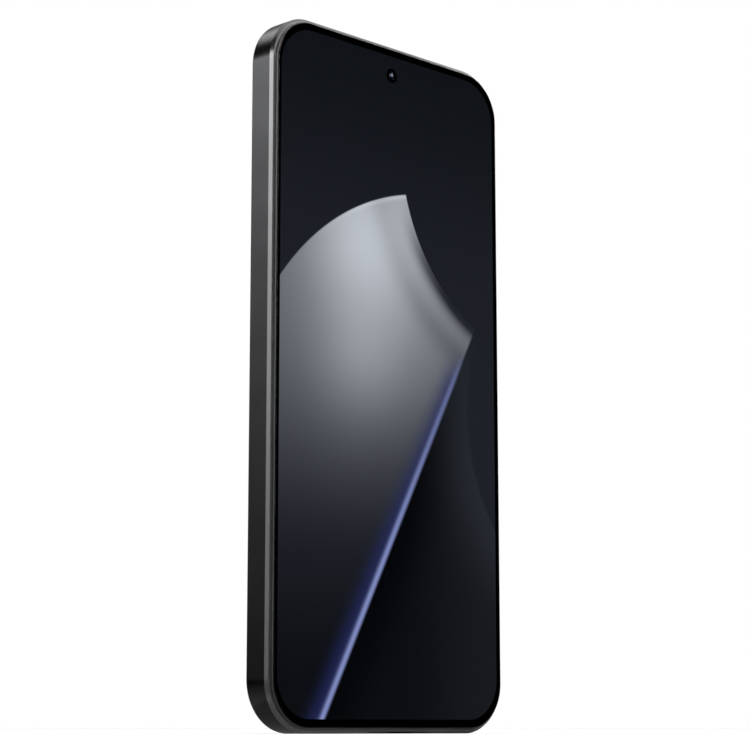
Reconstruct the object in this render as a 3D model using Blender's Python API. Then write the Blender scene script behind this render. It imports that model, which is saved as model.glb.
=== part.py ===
"""A smartphone standing on its bottom edge, as an assembly of its separate pieces.

X runs to the right as seen from the screen side, Y from the screen to the back, and Z up.
The bottom edge stands on Z = 0 and the body is centred on X = 0. Sizes are in millimetres,
and place() turns them into metres.
"""

import math

import bmesh
import bpy
from mathutils import Vector

MM = 0.001

# Outside of the body
WIDTH = 75.0
HEIGHT = 160.3
THICKNESS = 7.2  # metal frame, front rim to back rim
CORNER = 11.6  # radius of the outline's corners
CORNER_STEPS = 9
CHAMFER_IN = 0.45  # bright front chamfer, across the front
CHAMFER_DEEP = 0.8  # and down the side
BACK_ROUND = 1.2
BACK = 3.65
FRONT = BACK - THICKNESS

# Insets from the outline
LIP = 1.0  # the raised lip round the front glass
FRONT_RECESS = 1.2  # the seat of the front glass
FRONT_GLASS = 1.25
FRONT_WALL = 1.95  # inside of the frame's wall round the display
PANEL = 2.05
BACK_RECESS = 1.45  # the seat of the back cover
BACK_GLASS = 1.5
WALL = 2.6  # inside of the frame's wall behind the mid plate

# Layers, as positions along Y
LIP_FRONT = FRONT - 0.7
GLASS_FRONT = FRONT - 0.95
GLASS_BACK = -3.95
GLASS_SIDE = LIP_FRONT - 0.03  # where the glass's side ends and its curved edge starts
GLASS_CURVE = 0.55
DISPLAY = (-3.9, -2.95)
LEDGE_FRONT = -3.65
PLATE_FRONT = -2.35
PLATE_BACK = -1.55
LEDGE_BACK = 3.05
COVER_FRONT = 3.35
COVER_BACK = 3.95
MAIN_BOARD = (0.3, 1.1)
SUB_BOARD = (1.5, 2.3)
BRACKET = (2.3, 2.65)

# Camera plateau on the back
PLATEAU = (9.0, 33.0, 116.0, 154.5)
PLATEAU_CORNER = 6.5
PLATEAU_TOP = 5.55
LENS_TRIM_TOP = 5.85
LENS_X = 24.5
WIDE_Z = 144.0
ULTRAWIDE_Z = 127.0
FLASH_AT = (13.6, 135.5)
SEAT = 4.95  # where the lens covers' counterbores start

FRONT_CAMERA_Z = HEIGHT - 7.5
PORT_Y = 0.15  # the bottom openings and the SIM tray are centred here

# Keys in the wall at +X, as (low end, high end, stem positions)
KEY_HALF = 1.1
KEY_FACE = WIDTH / 2 + 0.4
KEY_BACK = 36.3
KEY_POCKET = 35.9
POWER_KEY = (91.5, 102.5, (97.0,))
VOLUME_KEY = (108.0, 129.0, (112.0, 125.0))
ROCK_X = 36.6  # the volume key rocks about this line

# SIM tray in the wall at +X: its head's and its carrier's ends along Z, and the ejector pin's hole
TRAY = (12.5, 27.5)
CARRIER = (13.5, 24.5)
PIN_HOLE_Z = 26.0

# Screws: (x, z) of those through the upper bracket and of those through the lower parts
SCREW_LENGTH = 3.4
UPPER_SCREWS = ((-31.0, 115.0), (4.5, 115.0), (-30.0, 146.0), (6.0, 153.0))
LOWER_SCREWS = ((27.5, 7.5), (-8.3, 24.5), (-32.2, 16.2))
UPPER_POST = 0.2
LOWER_POST = 1.4

# Base colour, metallic, roughness
FINISHES = {
    "dark_metal": ((0.030, 0.031, 0.033), 1.0, 0.32),
    "steel": ((0.45, 0.45, 0.46), 1.0, 0.35),
    "copper": ((0.62, 0.30, 0.17), 1.0, 0.38),
    "glass": ((0.004, 0.004, 0.005), 0.0, 0.04),
    "display": ((0.010, 0.011, 0.014), 0.0, 0.20),
    "back_glass": ((0.020, 0.021, 0.023), 0.0, 0.45),
    "black_plastic": ((0.022, 0.022, 0.023), 0.0, 0.55),
    "board": ((0.012, 0.055, 0.040), 0.0, 0.50),
    "chip": ((0.018, 0.018, 0.019), 0.0, 0.42),
    "foil": ((0.055, 0.055, 0.060), 0.0, 0.48),
    "flex": ((0.160, 0.070, 0.018), 0.0, 0.45),
    "rubber": ((0.030, 0.030, 0.030), 0.0, 0.85),
    "card": ((0.60, 0.60, 0.58), 0.0, 0.50),
}

# Which coordinates an outline's (u, v) and its position stand for, by the axis it runs along
AXES = {"X": (1, 2, 0), "Y": (0, 2, 1), "Z": (0, 1, 2)}


def place(u, v, along, axis):
    """A point in metres from an outline's (u, v) at a position along an axis."""
    point = [0.0, 0.0, 0.0]
    for index, value in zip(AXES[axis], (u, v, along)):
        point[index] = value * MM
    return point


# Outlines: lists of (u, v)


def rounded(corners, steps=4):
    """The outline through (u, v, radius) corners, with an arc at each corner that has a radius."""
    outline = []
    for i, (u, v, radius) in enumerate(corners):
        here = Vector((u, v))
        if radius <= 0:
            outline.append((u, v))
            continue
        before = (Vector(corners[i - 1][:2]) - here).normalized()
        after = (Vector(corners[(i + 1) % len(corners)][:2]) - here).normalized()
        half = before.angle(after) / 2
        centre = here + (before + after).normalized() * (radius / math.sin(half))
        reach = radius / math.tan(half)
        start = here + before * reach - centre
        end = here + after * reach - centre
        first = math.atan2(start.y, start.x)
        turn = math.remainder(math.atan2(end.y, end.x) - first, math.tau)
        for k in range(steps + 1):
            angle = first + turn * k / steps
            outline.append((centre.x + radius * math.cos(angle), centre.y + radius * math.sin(angle)))
    return outline


def rectangle(u0, u1, v0, v1, radius=0.0, steps=4):
    return rounded([(u0, v0, radius), (u1, v0, radius), (u1, v1, radius), (u0, v1, radius)], steps)


def circle(u, v, radius, sides=16):
    angles = [math.tau * k / sides for k in range(sides)]
    return [(u + radius * math.cos(a), v + radius * math.sin(a)) for a in angles]


def body(inset):
    """The phone's own outline, seen along Y, moved inwards."""
    half = WIDTH / 2 - inset
    return rectangle(-half, half, inset, HEIGHT - inset, CORNER - inset, CORNER_STEPS)


def plateau(grow):
    """The camera plateau's outline, moved outwards."""
    x0, x1, z0, z1 = PLATEAU
    return rectangle(x0 - grow, x1 + grow, z0 - grow, z1 + grow, PLATEAU_CORNER + grow, 5)


def ribbon(path, thickness):
    """The outline of a bent strip, seen from its edge."""
    points = [Vector(p) for p in path]
    sides = []
    for i, point in enumerate(points):
        inward = (point - points[i - 1]).normalized() if i else None
        onward = (points[i + 1] - point).normalized() if i + 1 < len(points) else None
        along = ((inward or onward) + (onward or inward)).normalized()
        normal = Vector((-along.y, along.x))
        mitre = 1.0 / along.dot(onward or inward)
        sides.append((point, normal * (mitre * thickness / 2)))
    left = [tuple(point + offset) for point, offset in sides]
    right = [tuple(point - offset) for point, offset in reversed(sides)]
    return left + right


# Meshes and objects


def add_loft(mesh, rings, axis="Y", closed=False):
    """Walls through (outline, position) rings, capped at both ends, or joined up as a hoop."""
    loops = [[mesh.verts.new(place(u, v, along, axis)) for u, v in outline] for outline, along in rings]
    pairs = list(zip(loops, loops[1:]))
    if closed:
        pairs.append((loops[-1], loops[0]))
    else:
        mesh.faces.new(loops[0])
        mesh.faces.new(loops[-1][::-1])
    for near, far in pairs:
        for i in range(len(near)):
            mesh.faces.new((near[i - 1], near[i], far[i], far[i - 1]))


def material(name, finish):
    colour, metallic, roughness = FINISHES[finish]
    made = bpy.data.materials.new(name)
    made.use_nodes = True
    shader = made.node_tree.nodes["Principled BSDF"]
    shader.inputs["Base Color"].default_value = (*colour, 1.0)
    shader.inputs["Metallic"].default_value = metallic
    shader.inputs["Roughness"].default_value = roughness
    made.diffuse_color = (*colour, 1.0)
    return made


def finished(name, mesh, finish, parent, origin=None):
    """The object of a mesh made in world space, with its origin at its middle or where it moves."""
    bmesh.ops.recalc_face_normals(mesh, faces=mesh.faces)
    if mesh.calc_volume(signed=True) < 0:
        bmesh.ops.reverse_faces(mesh, faces=mesh.faces)
    spots = [vert.co for vert in mesh.verts]
    if origin is None:
        origin = [(min(p[k] for p in spots) + max(p[k] for p in spots)) / 2 for k in range(3)]
    origin = Vector(origin)
    bmesh.ops.translate(mesh, verts=mesh.verts, vec=-origin)
    data = bpy.data.meshes.new(name)
    mesh.to_mesh(data)
    mesh.free()
    data.shade_smooth()
    data.set_sharp_from_angle(angle=math.radians(32))
    made = bpy.data.objects.new(name, data)
    bpy.context.collection.objects.link(made)
    if finish:
        data.materials.append(material(name, finish))
    if parent:
        made.parent = parent
        origin = origin - parent.location
    made.location = origin
    return made


def loft(name, rings, finish, parent, axis="Y", closed=False, origin=None):
    mesh = bmesh.new()
    add_loft(mesh, rings, axis, closed)
    return finished(name, mesh, finish, parent, origin)


def plate(name, outline, low, high, finish, parent, axis="Y", origin=None):
    """A straight prism of an outline."""
    return loft(name, [(outline, low), (outline, high)], finish, parent, axis, origin=origin)


def hoop(name, outer, inner, low, high, finish, parent, axis="Y", origin=None):
    """A flat ring between two outlines."""
    rings = [(outer, low), (outer, high), (inner, high), (inner, low)]
    return loft(name, rings, finish, parent, axis, True, origin)


def tool(name, prisms):
    """A guide body of straight prisms (outline, low, high, axis), for booleans."""
    mesh = bmesh.new()
    for outline, low, high, axis in prisms:
        add_loft(mesh, [(outline, low), (outline, high)], axis)
    made = finished(name, mesh, None, None)
    made.hide_render = True
    made.display_type = "WIRE"
    return made


def boolean(target, operation, name, prisms):
    modifier = target.modifiers.new(name, "BOOLEAN")
    modifier.operation = operation
    modifier.solver = "EXACT"
    modifier.object = tool(f"{target.name}_{name}", prisms)


def cut(target, name, prisms):
    boolean(target, "DIFFERENCE", name, prisms)


def weld(target, name, prisms):
    boolean(target, "UNION", name, prisms)


def empty(name, location, parent=None):
    made = bpy.data.objects.new(name, None)
    bpy.context.collection.objects.link(made)
    made.location = Vector(location) * MM
    made.parent = parent
    return made


# Frame


def frame_rings():
    """The frame's section, from the mid plate's front, over the outside, to the plate's back."""
    section = [
        (FRONT_WALL, PLATE_FRONT),
        (FRONT_WALL, LEDGE_FRONT),
        (FRONT_RECESS, LEDGE_FRONT),
        (FRONT_RECESS, LIP_FRONT),
        (LIP, LIP_FRONT),
        (LIP, FRONT),
        (CHAMFER_IN, FRONT),
        (0.0, FRONT + CHAMFER_DEEP),
    ]
    for k in range(5):
        angle = math.pi / 2 * k / 4
        inset = BACK_ROUND * (1 - math.cos(angle))
        section.append((inset, BACK - BACK_ROUND * (1 - math.sin(angle))))
    section += [
        (BACK_RECESS, BACK),
        (BACK_RECESS, LEDGE_BACK),
        (WALL, LEDGE_BACK),
        (WALL, PLATE_BACK),
    ]
    return [(body(inset), y) for inset, y in section]


INSERT_HALF = 0.7  # antenna inserts, half their width
INSERT_DEEP = 1.9
INSERT_FRONT = -2.45
INSERTS = {
    "antenna_insert_bottom_left": (-27.0, False),
    "antenna_insert_bottom_right": (27.0, False),
    "antenna_insert_top_left": (-27.0, True),
    "antenna_insert_top_right": (27.0, True),
}


def insert_box(x, top, gap):
    """The box that holds an antenna insert, made smaller all round by a gap."""
    half = INSERT_HALF - gap
    deep = INSERT_DEEP - gap
    z = (HEIGHT - deep, HEIGHT + 1) if top else (-1, deep)
    return rectangle(x - half, x + half, *z), INSERT_FRONT + gap, BACK + 1, "Y"


def key_pocket(key):
    low, high, _ = key
    gap = 0.15
    half = KEY_HALF + gap
    return rectangle(-half, half, low - gap, high + gap, half), KEY_POCKET, WIDTH / 2 + 2, "X"


def mid_frame(phone):
    frame = loft("mid_frame", frame_rings(), "dark_metal", phone)
    root = PLATE_BACK - 0.3
    posts = [(circle(x, z, 1.9, 12), root, UPPER_POST, "Y") for x, z in UPPER_SCREWS]
    posts += [(circle(x, z, 1.9, 12), root, LOWER_POST, "Y") for x, z in LOWER_SCREWS]
    ribs = [(27.9, 28.9), (109.2, 110.2)]
    sides = [(-30.0, -8.0), (8.0, 30.0)]
    bars = [(rectangle(*x, *z), root, 0.8, "Y") for z in ribs for x in sides]
    weld(frame, "posts_and_ribs", posts + bars)

    wall = (-1.0, WALL + 0.9)
    top_wall = (HEIGHT - WALL - 0.9, HEIGHT + 1.0)
    outer = [
        (rectangle(-4.55, 4.55, PORT_Y - 1.6, PORT_Y + 1.6, 1.6), *wall, "Z"),
        (circle(6.8, PORT_Y, 0.45, 10), *wall, "Z"),
        (circle(12.5, -0.3, 0.45, 10), *top_wall, "Z"),
        (rectangle(-12.9, 12.9, HEIGHT - 1.55, HEIGHT - 0.8), LIP_FRONT - 0.5, -0.6, "Y"),
        (rectangle(PORT_Y - 1.3, PORT_Y + 1.3, TRAY[0] - 0.1, TRAY[1] + 0.1, 1.3), 34.0, 39.0, "X"),
        key_pocket(POWER_KEY),
        key_pocket(VOLUME_KEY),
    ]
    outer += [(circle(-12.6 - 2.3 * k, PORT_Y, 0.65, 12), *wall, "Z") for k in range(6)]
    outer += [insert_box(x, top, 0.0) for x, top in INSERTS.values()]
    cut(frame, "outer_openings", outer)

    stems = POWER_KEY[2] + VOLUME_KEY[2]
    inner = [(rectangle(-0.9, 0.9, z - 1.4, z + 1.4), 34.0, KEY_POCKET + 0.3, "X") for z in stems]
    inner += [
        (rectangle(-16.0, -8.0, 156.5, HEIGHT - 1.0), -1.4, -0.4, "Y"),
        (rectangle(-3.5, 3.5, 149.3, 156.3, 0.6), -2.8, -1.2, "Y"),
        (rectangle(-5.4, 5.4, 18.4, 27.5, 0.6), -2.8, -1.2, "Y"),
        (rectangle(-5.2, 5.2, 10.4, 12.6), -2.8, -1.2, "Y"),
    ]
    inner += [(circle(x, z, 0.8, 10), -1.3, LOWER_POST + 1, "Y") for x, z in UPPER_SCREWS + LOWER_SCREWS]
    cut(frame, "inner_openings", inner)


def antenna_inserts(phone):
    for name, (x, top) in INSERTS.items():
        insert = loft(name, frame_rings(), "black_plastic", phone)
        boolean(insert, "INTERSECT", "block", [insert_box(x, top, 0.05)])


# Front


def front_glass(phone):
    rings = [(body(FRONT_GLASS), GLASS_BACK)]
    for k in range(5):
        angle = math.pi / 2 * k / 4
        inset = GLASS_CURVE * (1 - math.cos(angle))
        rings.append((body(FRONT_GLASS + inset), GLASS_SIDE + (GLASS_FRONT - GLASS_SIDE) * math.sin(angle)))
    loft("front_glass", rings, "glass", phone)


def display(phone):
    panel = plate("display_panel", body(PANEL), *DISPLAY, "display", phone)
    cut(panel, "camera_window", [(circle(0.0, FRONT_CAMERA_Z, 1.75), -4.2, -2.5, "Y")])
    hoop("display_adhesive", body(1.3), body(1.85), -3.9, -3.7, "black_plastic", phone)
    tail = ribbon([(-2.78, 5.5), (-2.78, 11.5), (0.8, 11.5)], 0.15)
    flex = plate("display_flex", tail, -4.2, 4.2, "flex", phone, "X")
    weld(flex, "plug", [(rectangle(-4.5, 4.5, 10.6, 13.6), 0.55, 1.35, "Y")])
    plate("fingerprint_sensor", rectangle(-5.0, 5.0, 18.8, 27.1, 0.4), -2.85, -1.8, "chip", phone)
    chamber = rectangle(-26.0, 26.0, 34.0, 140.0, 3.0)
    plate("vapor_chamber", chamber, -2.85, -2.45, "copper", phone)


def front_camera(phone):
    z = FRONT_CAMERA_Z
    base = rectangle(-3.2, 3.2, z - 3.2, z + 3.2, 0.4)
    camera = plate("front_camera", base, -2.2, 1.8, "black_plastic", phone)
    weld(camera, "barrel", [(circle(0.0, z, 1.45), -3.55, -2.0, "Y")])
    rings = [(circle(0.0, z, 0.55), -3.88), (circle(0.0, z, 0.9), -3.8), (circle(0.0, z, 0.9), -3.63)]
    loft("front_camera_lens", rings, "glass", phone)


def earpiece(phone):
    case = rectangle(-18.5, -5.5, 149.2, 156.4, 0.8)
    plate("earpiece_speaker", case, -1.3, 1.7, "black_plastic", phone)
    strip = rectangle(-12.8, 12.8, HEIGHT - 1.47, HEIGHT - 0.88)
    plate("earpiece_mesh", strip, -3.2, -3.0, "steel", phone)


# Upper parts


def main_board(phone):
    low, high = MAIN_BOARD
    corners = [
        (-34.0, 112.0, 0),
        (33.2, 112.0, 0),
        (33.2, 119.0, 0),
        (16.8, 119.0, 0),
        (16.8, 156.0, 0),
        (4.4, 156.0, 0),
        (4.4, 147.5, 0),
        (-20.0, 147.5, 0),
        (-20.0, 156.0, 0),
        (-34.0, 156.0, 8.2),
    ]
    board = plate("main_board", rounded(corners), low, high, "board", phone)
    cut(board, "screw_holes", [(circle(x, z, 0.9, 10), -1.0, 2.0, "Y") for x, z in UPPER_SCREWS])
    front = low - 0.1
    back = high + 0.1
    plate("processor", rectangle(-13.0, 1.0, 122.0, 136.0), front - 1.1, front, "chip", phone)
    plate("memory_chip", rectangle(-22.0, -8.0, 122.0, 134.0), back, back + 0.65, "chip", phone)
    shield("shield_can_front", (-18.0, 6.0, 118.5, 139.5), front, -1.35, phone)
    shield("shield_can_back", (-28.0, 2.0, 117.5, 140.0), back, 2.2, phone)
    plate("top_microphone", rectangle(11.0, 14.0, 152.6, 156.2), front - 1.0, front, "steel", phone)


def shield(name, area, rim, top, phone):
    """A sheet-metal can, open towards the board."""
    x0, x1, z0, z1 = area
    sheet = 0.2
    outer = rectangle(x0, x1, z0, z1, 0.8, 2)
    inner = rectangle(x0 + sheet, x1 - sheet, z0 + sheet, z1 - sheet, 0.6, 2)
    roof = top - math.copysign(sheet, top - rim)
    loft(name, [(inner, roof), (inner, rim), (outer, rim), (outer, top)], "steel", phone)


def upper_bracket(phone):
    low, high = BRACKET
    corners = [(-34.0, 113.0, 0), (7.4, 113.0, 0), (7.4, 156.3, 0), (-34.0, 156.3, 8.2)]
    bracket = plate("upper_bracket", rounded(corners), low, high, "black_plastic", phone)
    holes = [(circle(x, z, 0.9, 10), low - 1, high + 1, "Y") for x, z in UPPER_SCREWS]
    cut(bracket, "screw_holes", holes)
    outer = rectangle(-27.0, -2.0, 119.0, 142.0, 3.0)
    inner = rectangle(-24.0, -5.0, 122.0, 139.0, 1.5)
    hoop("nfc_antenna", outer, inner, high + 0.1, high + 0.22, "copper", phone)


def cameras(phone, focus):
    x = LENS_X
    square = rectangle(x - 6.0, x + 6.0, WIDE_Z - 6.0, WIDE_Z + 6.0, 0.6, 2)
    housing = plate("wide_camera", square, -1.4, 2.5, "steel", phone)
    cut(housing, "bore", [(circle(x, WIDE_Z, 4.5, 20), -0.1, 3.5, "Y")])
    section = [(4.2, 0.1), (4.2, 3.0), (3.9, 4.25), (2.7, 4.25), (2.0, 3.7)]
    rings = [(circle(x, WIDE_Z, radius, 20), y) for radius, y in section]
    loft("wide_camera_barrel", rings, "black_plastic", focus, origin=focus.location)

    square = rectangle(x - 5.0, x + 5.0, ULTRAWIDE_Z - 5.0, ULTRAWIDE_Z + 5.0, 0.6, 2)
    camera = plate("ultrawide_camera", square, -0.6, 2.4, "black_plastic", phone)
    weld(camera, "barrel", [(circle(x, ULTRAWIDE_Z, 3.5, 16), 2.2, 4.4, "Y")])

    x, z = FLASH_AT
    plate("flash_module", rectangle(x - 1.8, x + 1.8, z - 1.8, z + 1.8), 1.2, 4.6, "card", phone)


def camera_plateau(phone):
    section = [
        (-1.2, 4.75),
        (-1.2, 2.75),
        (0.9, 2.75),
        (0.9, COVER_FRONT - 0.1),
        (0.0, COVER_FRONT - 0.1),
        (0.0, 5.25),
        (-0.1, 5.45),
        (-0.35, PLATEAU_TOP),
    ]
    rings = [(plateau(grow), y) for grow, y in section]
    deck = loft("camera_plateau", rings, "dark_metal", phone)
    lenses = [(LENS_X, WIDE_Z), (LENS_X, ULTRAWIDE_Z)]
    weld(deck, "trims", [(circle(x, z, 6.0, 32), 5.3, LENS_TRIM_TOP, "Y") for x, z in lenses])
    seats = [(circle(x, z, 5.1, 32), SEAT, 7.0, "Y") for x, z in lenses]
    cut(deck, "seats", seats + [(circle(*FLASH_AT, 2.3), SEAT, 7.0, "Y")])
    bores = [(circle(x, z, 4.3, 24), 4.0, SEAT + 0.3, "Y") for x, z in lenses]
    cut(deck, "bores", bores + [(circle(*FLASH_AT, 1.7), 4.0, SEAT + 0.3, "Y")])

    floor = SEAT + 0.1
    covers = {
        "wide_lens_cover": (*lenses[0], 5.0, 5.70),
        "ultrawide_lens_cover": (*lenses[1], 5.0, 5.70),
        "flash_lens": (*FLASH_AT, 2.2, 5.60),
    }
    for name, (x, z, radius, top) in covers.items():
        section = [(radius, floor), (radius, top - 0.1), (radius - 0.12, top)]
        rings = [(circle(x, z, r, 32), y) for r, y in section]
        loft(name, rings, "card" if name == "flash_lens" else "glass", phone)


# Middle and lower parts


def battery(phone):
    section = [(0.4, -1.4), (0.0, -1.0), (0.0, 2.35), (0.4, 2.75)]
    rings = []
    for inset, y in section:
        rings.append((rectangle(-31.5 + inset, 31.5 - inset, 29.5 + inset, 108.5 - inset, 1.2), y))
    loft("battery", rings, "foil", phone)
    tab = rectangle(-27.0, -21.0, 84.0, 107.5, 2.9)
    plate("battery_pull_tab", tab, 2.85, 2.95, "card", phone)
    lead = ribbon([(1.1, 108.7), (1.1, 110.8), (1.4, 111.6), (1.4, 118.2)], 0.2)
    plate("battery_lead", lead, 9.0, 15.0, "flex", phone, "X")


def ribbons_and_cable(phone):
    path = [(2.5, 15.0), (2.5, 25.0), (2.95, 27.5), (2.95, 109.3), (1.35, 111.8), (1.35, 116.5)]
    plate("board_flex", ribbon(path, 0.15), -6.5, 3.0, "flex", phone, "X")

    route = [
        (27.5, 1.65, 116.0),
        (30.5, 1.65, 116.0),
        (32.4, 1.65, 114.8),
        (33.2, 1.70, 112.0),
        (33.3, 1.80, 108.0),
        (33.3, 2.20, 70.0),
        (33.3, 2.60, 34.0),
        (33.3, 2.75, 28.0),
        (33.2, 2.75, 18.0),
    ]
    curve = bpy.data.curves.new("antenna_cable", "CURVE")
    curve.dimensions = "3D"
    curve.bevel_depth = 0.4 * MM
    curve.bevel_resolution = 2
    curve.use_fill_caps = True
    middle = Vector(route[0]) * MM
    spline = curve.splines.new("POLY")
    spline.points.add(len(route) - 1)
    for point, spot in zip(spline.points, route):
        point.co = (*(Vector(spot) * MM - middle), 1.0)
    curve.materials.append(material("antenna_cable", "black_plastic"))
    cable = bpy.data.objects.new("antenna_cable", curve)
    bpy.context.collection.objects.link(cable)
    cable.parent = phone
    cable.location = middle


def sub_board(phone):
    corners = [
        (-10.2, 3.3, 0),
        (-5.1, 3.3, 0),
        (-5.1, 8.7, 0),
        (5.1, 8.7, 0),
        (5.1, 3.3, 0),
        (34.2, 3.3, 8.4),
        (34.2, 27.0, 0),
        (-10.2, 27.0, 0),
    ]
    board = plate("sub_board", rounded(corners), *SUB_BOARD, "board", phone)
    holes = [(circle(x, z, 0.9, 10), 0.5, 3.5, "Y") for x, z in LOWER_SCREWS[:2]]
    cut(board, "screw_holes", holes)
    plate("bottom_microphone", rectangle(5.5, 8.1, 3.0, 6.6), -0.4, 1.35, "steel", phone)


def usb_socket(phone):
    outer = rectangle(-4.45, 4.45, PORT_Y - 1.5, PORT_Y + 1.5, 1.5)
    inner = rectangle(-4.23, 4.23, PORT_Y - 1.28, PORT_Y + 1.28, 1.28)
    rings = [(inner, 7.6), (inner, 0.4), (outer, 0.4), (outer, 8.0)]
    loft("usb_socket_shell", rings, "steel", phone, "Z")
    blade = rectangle(-3.35, 3.35, PORT_Y - 0.35, PORT_Y + 0.35, 0.1, 1)
    base = rectangle(-3.9, 3.9, PORT_Y - 1.0, PORT_Y + 1.0, 0.3, 1)
    loft("usb_tongue", [(blade, 1.3), (blade, 6.2), (base, 6.2), (base, 7.5)], "black_plastic", phone, "Z")


def loudspeaker(phone):
    x, z = LOWER_SCREWS[2]
    corners = [
        (-11.2, 3.3, 0.5),
        (-34.2, 3.3, 8.4),
        (-34.2, z - 2.2, 0),
        (x + 2.2, z - 2.2, 0),
        (x + 2.2, 18.3, 0),
        (-11.2, 18.3, 0.5),
    ]
    module = plate("speaker_module", rounded(corners), -1.3, 2.9, "black_plastic", phone)
    weld(module, "ear", [(rectangle(-34.2, x + 2.8, z - 2.8, 18.3), *SUB_BOARD, "Y")])
    cut(module, "screw_hole", [(circle(x, z, 0.9, 10), 1.0, 3.5, "Y")])
    strip = rectangle(-25.2, -11.5, PORT_Y - 0.95, PORT_Y + 0.95, 0.3, 1)
    plate("speaker_mesh", strip, WALL + 0.1, WALL + 0.4, "steel", phone, "Z")


def vibration_motor(phone, buzz):
    x0, x1, z0, z1 = -30.0, -14.0, 20.2, 26.8
    sheet = 0.3
    outer = rectangle(x0, x1, z0, z1, 0.8)
    inner = rectangle(x0 + sheet, x1 - sheet, z0 + sheet, z1 - sheet, 0.5)
    rings = [(inner, -1.05), (inner, 2.0), (outer, 2.0), (outer, -1.35)]
    loft("motor_case", rings, "steel", phone)
    weight = rectangle(x0 + 1.0, x1 - 1.0, z0 + 0.7, z1 - 0.7, 0.4)
    plate("motor_mass", weight, -0.8, 1.7, "steel", buzz, origin=buzz.location)


def sim_tray(phone, slide):
    channel = rectangle(-0.6, 0.9, 13.0, 25.0)
    cage = rectangle(-1.25, 1.25, 12.3, 25.7)
    rings = [(channel, 13.3), (channel, 33.5), (cage, 33.5), (cage, 12.9)]
    loft("sim_reader", rings, "steel", phone, "X")

    face = WIDTH / 2
    z0, z1 = CARRIER
    head = rectangle(PORT_Y - 1.2, PORT_Y + 1.2, *TRAY, 1.2)
    neck = rectangle(PORT_Y - 0.6, PORT_Y + 0.6, z0 - 0.1, z1 + 0.1, 0.6)
    carrier = rectangle(PORT_Y - 0.5, PORT_Y + 0.5, z0, z1, 0.1)
    steps = [(head, 0.0), (head, 1.1), (neck, 1.1), (neck, 2.3), (carrier, 2.3), (carrier, 23.5)]
    rings = [(outline, face - deep) for outline, deep in steps]
    tray = loft("sim_tray", rings, "dark_metal", slide, "X", origin=slide.location)
    pocket = rectangle(19.7, 32.5, z0 + 0.9, z1 - 0.9), -0.1, 2.0, "Y"
    pin_hole = circle(PORT_Y, PIN_HOLE_Z, 0.45, 10), face - 2.0, face + 1.0, "X"
    cut(tray, "card_pocket", [pocket, pin_hole])
    cut(tray, "card_window", [(rectangle(21.2, 31.0, z0 + 2.2, z1 - 2.2), -2.0, 0.3, "Y")])

    outer = rectangle(PORT_Y - 1.1, PORT_Y + 1.1, z0 - 0.9, z1 + 0.9, 1.0)
    inner = rectangle(PORT_Y - 0.7, PORT_Y + 0.7, z0 - 0.2, z1 + 0.2, 0.6)
    hoop("sim_tray_seal", outer, inner, face - 2.15, face - 1.25, "rubber", slide, "X", slide.location)
    x0, x1, z0, z1 = 19.95, 32.25, 14.6, 23.4
    card = rounded([(x0, z0, 0.5), (x1, z0, 0.5), (x1, z1, 0.5), (x0 + 1.6, z1, 0), (x0, z1 - 1.6, 0)], 2)
    plate("sim_card", card, -0.05, 0.62, "card", slide, origin=slide.location)


# Keys, back and screws


def key(name, data, joint):
    low, high, stems = data
    section = [(0.0, KEY_BACK), (0.0, 37.65), (0.12, 37.82), (0.32, KEY_FACE)]
    rings = []
    for inset, x in section:
        half = KEY_HALF - inset
        rings.append((rectangle(-half, half, low + inset, high - inset, half, 5), x))
    cap = loft(name, rings, "dark_metal", joint, "X", origin=joint.location)
    posts = [(rectangle(-0.65, 0.65, z - 1.1, z + 1.1), 35.55, KEY_BACK + 0.2, "X") for z in stems]
    weld(cap, "stems", posts)


def keys(phone, press, rock):
    key("power_key", POWER_KEY, press)
    key("volume_key", VOLUME_KEY, rock)
    strip = rectangle(-1.0, 1.0, 88.0, 134.0)
    contacts = plate("key_contact_strip", strip, 34.3, 34.5, "flex", phone, "X")
    stems = POWER_KEY[2] + VOLUME_KEY[2]
    weld(contacts, "domes", [(circle(0.0, z, 0.8, 10), 34.4, 35.15, "X") for z in stems])


def back_cover(phone):
    edge = [(0.0, COVER_FRONT), (0.0, COVER_BACK - 0.2), (0.06, COVER_BACK - 0.08), (0.2, COVER_BACK)]
    cover = loft("back_cover", [(body(BACK_GLASS + inset), y) for inset, y in edge], "back_glass", phone)
    cut(cover, "camera_opening", [(plateau(0.1), 2.0, 5.0, "Y")])
    hoop("back_cover_adhesive", body(1.65), body(2.5), 3.1, 3.3, "black_plastic", phone)


def screws(phone):
    section = [(0.45, 0.0), (0.7, 0.25), (0.7, SCREW_LENGTH), (1.4, SCREW_LENGTH)]
    section += [(1.4, 3.7), (1.25, 3.9), (0.6, 3.9), (0.6, 3.6)]
    seats = [(x, z, BRACKET[1]) for x, z in UPPER_SCREWS] + [(x, z, SUB_BOARD[1]) for x, z in LOWER_SCREWS]
    for number, (x, z, seat) in enumerate(seats, 1):
        tip = seat + 0.05 - SCREW_LENGTH
        rings = [(circle(x, z, radius, 10), tip + y) for radius, y in section]
        loft(f"screw_{number}", rings, "steel", phone)


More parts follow.
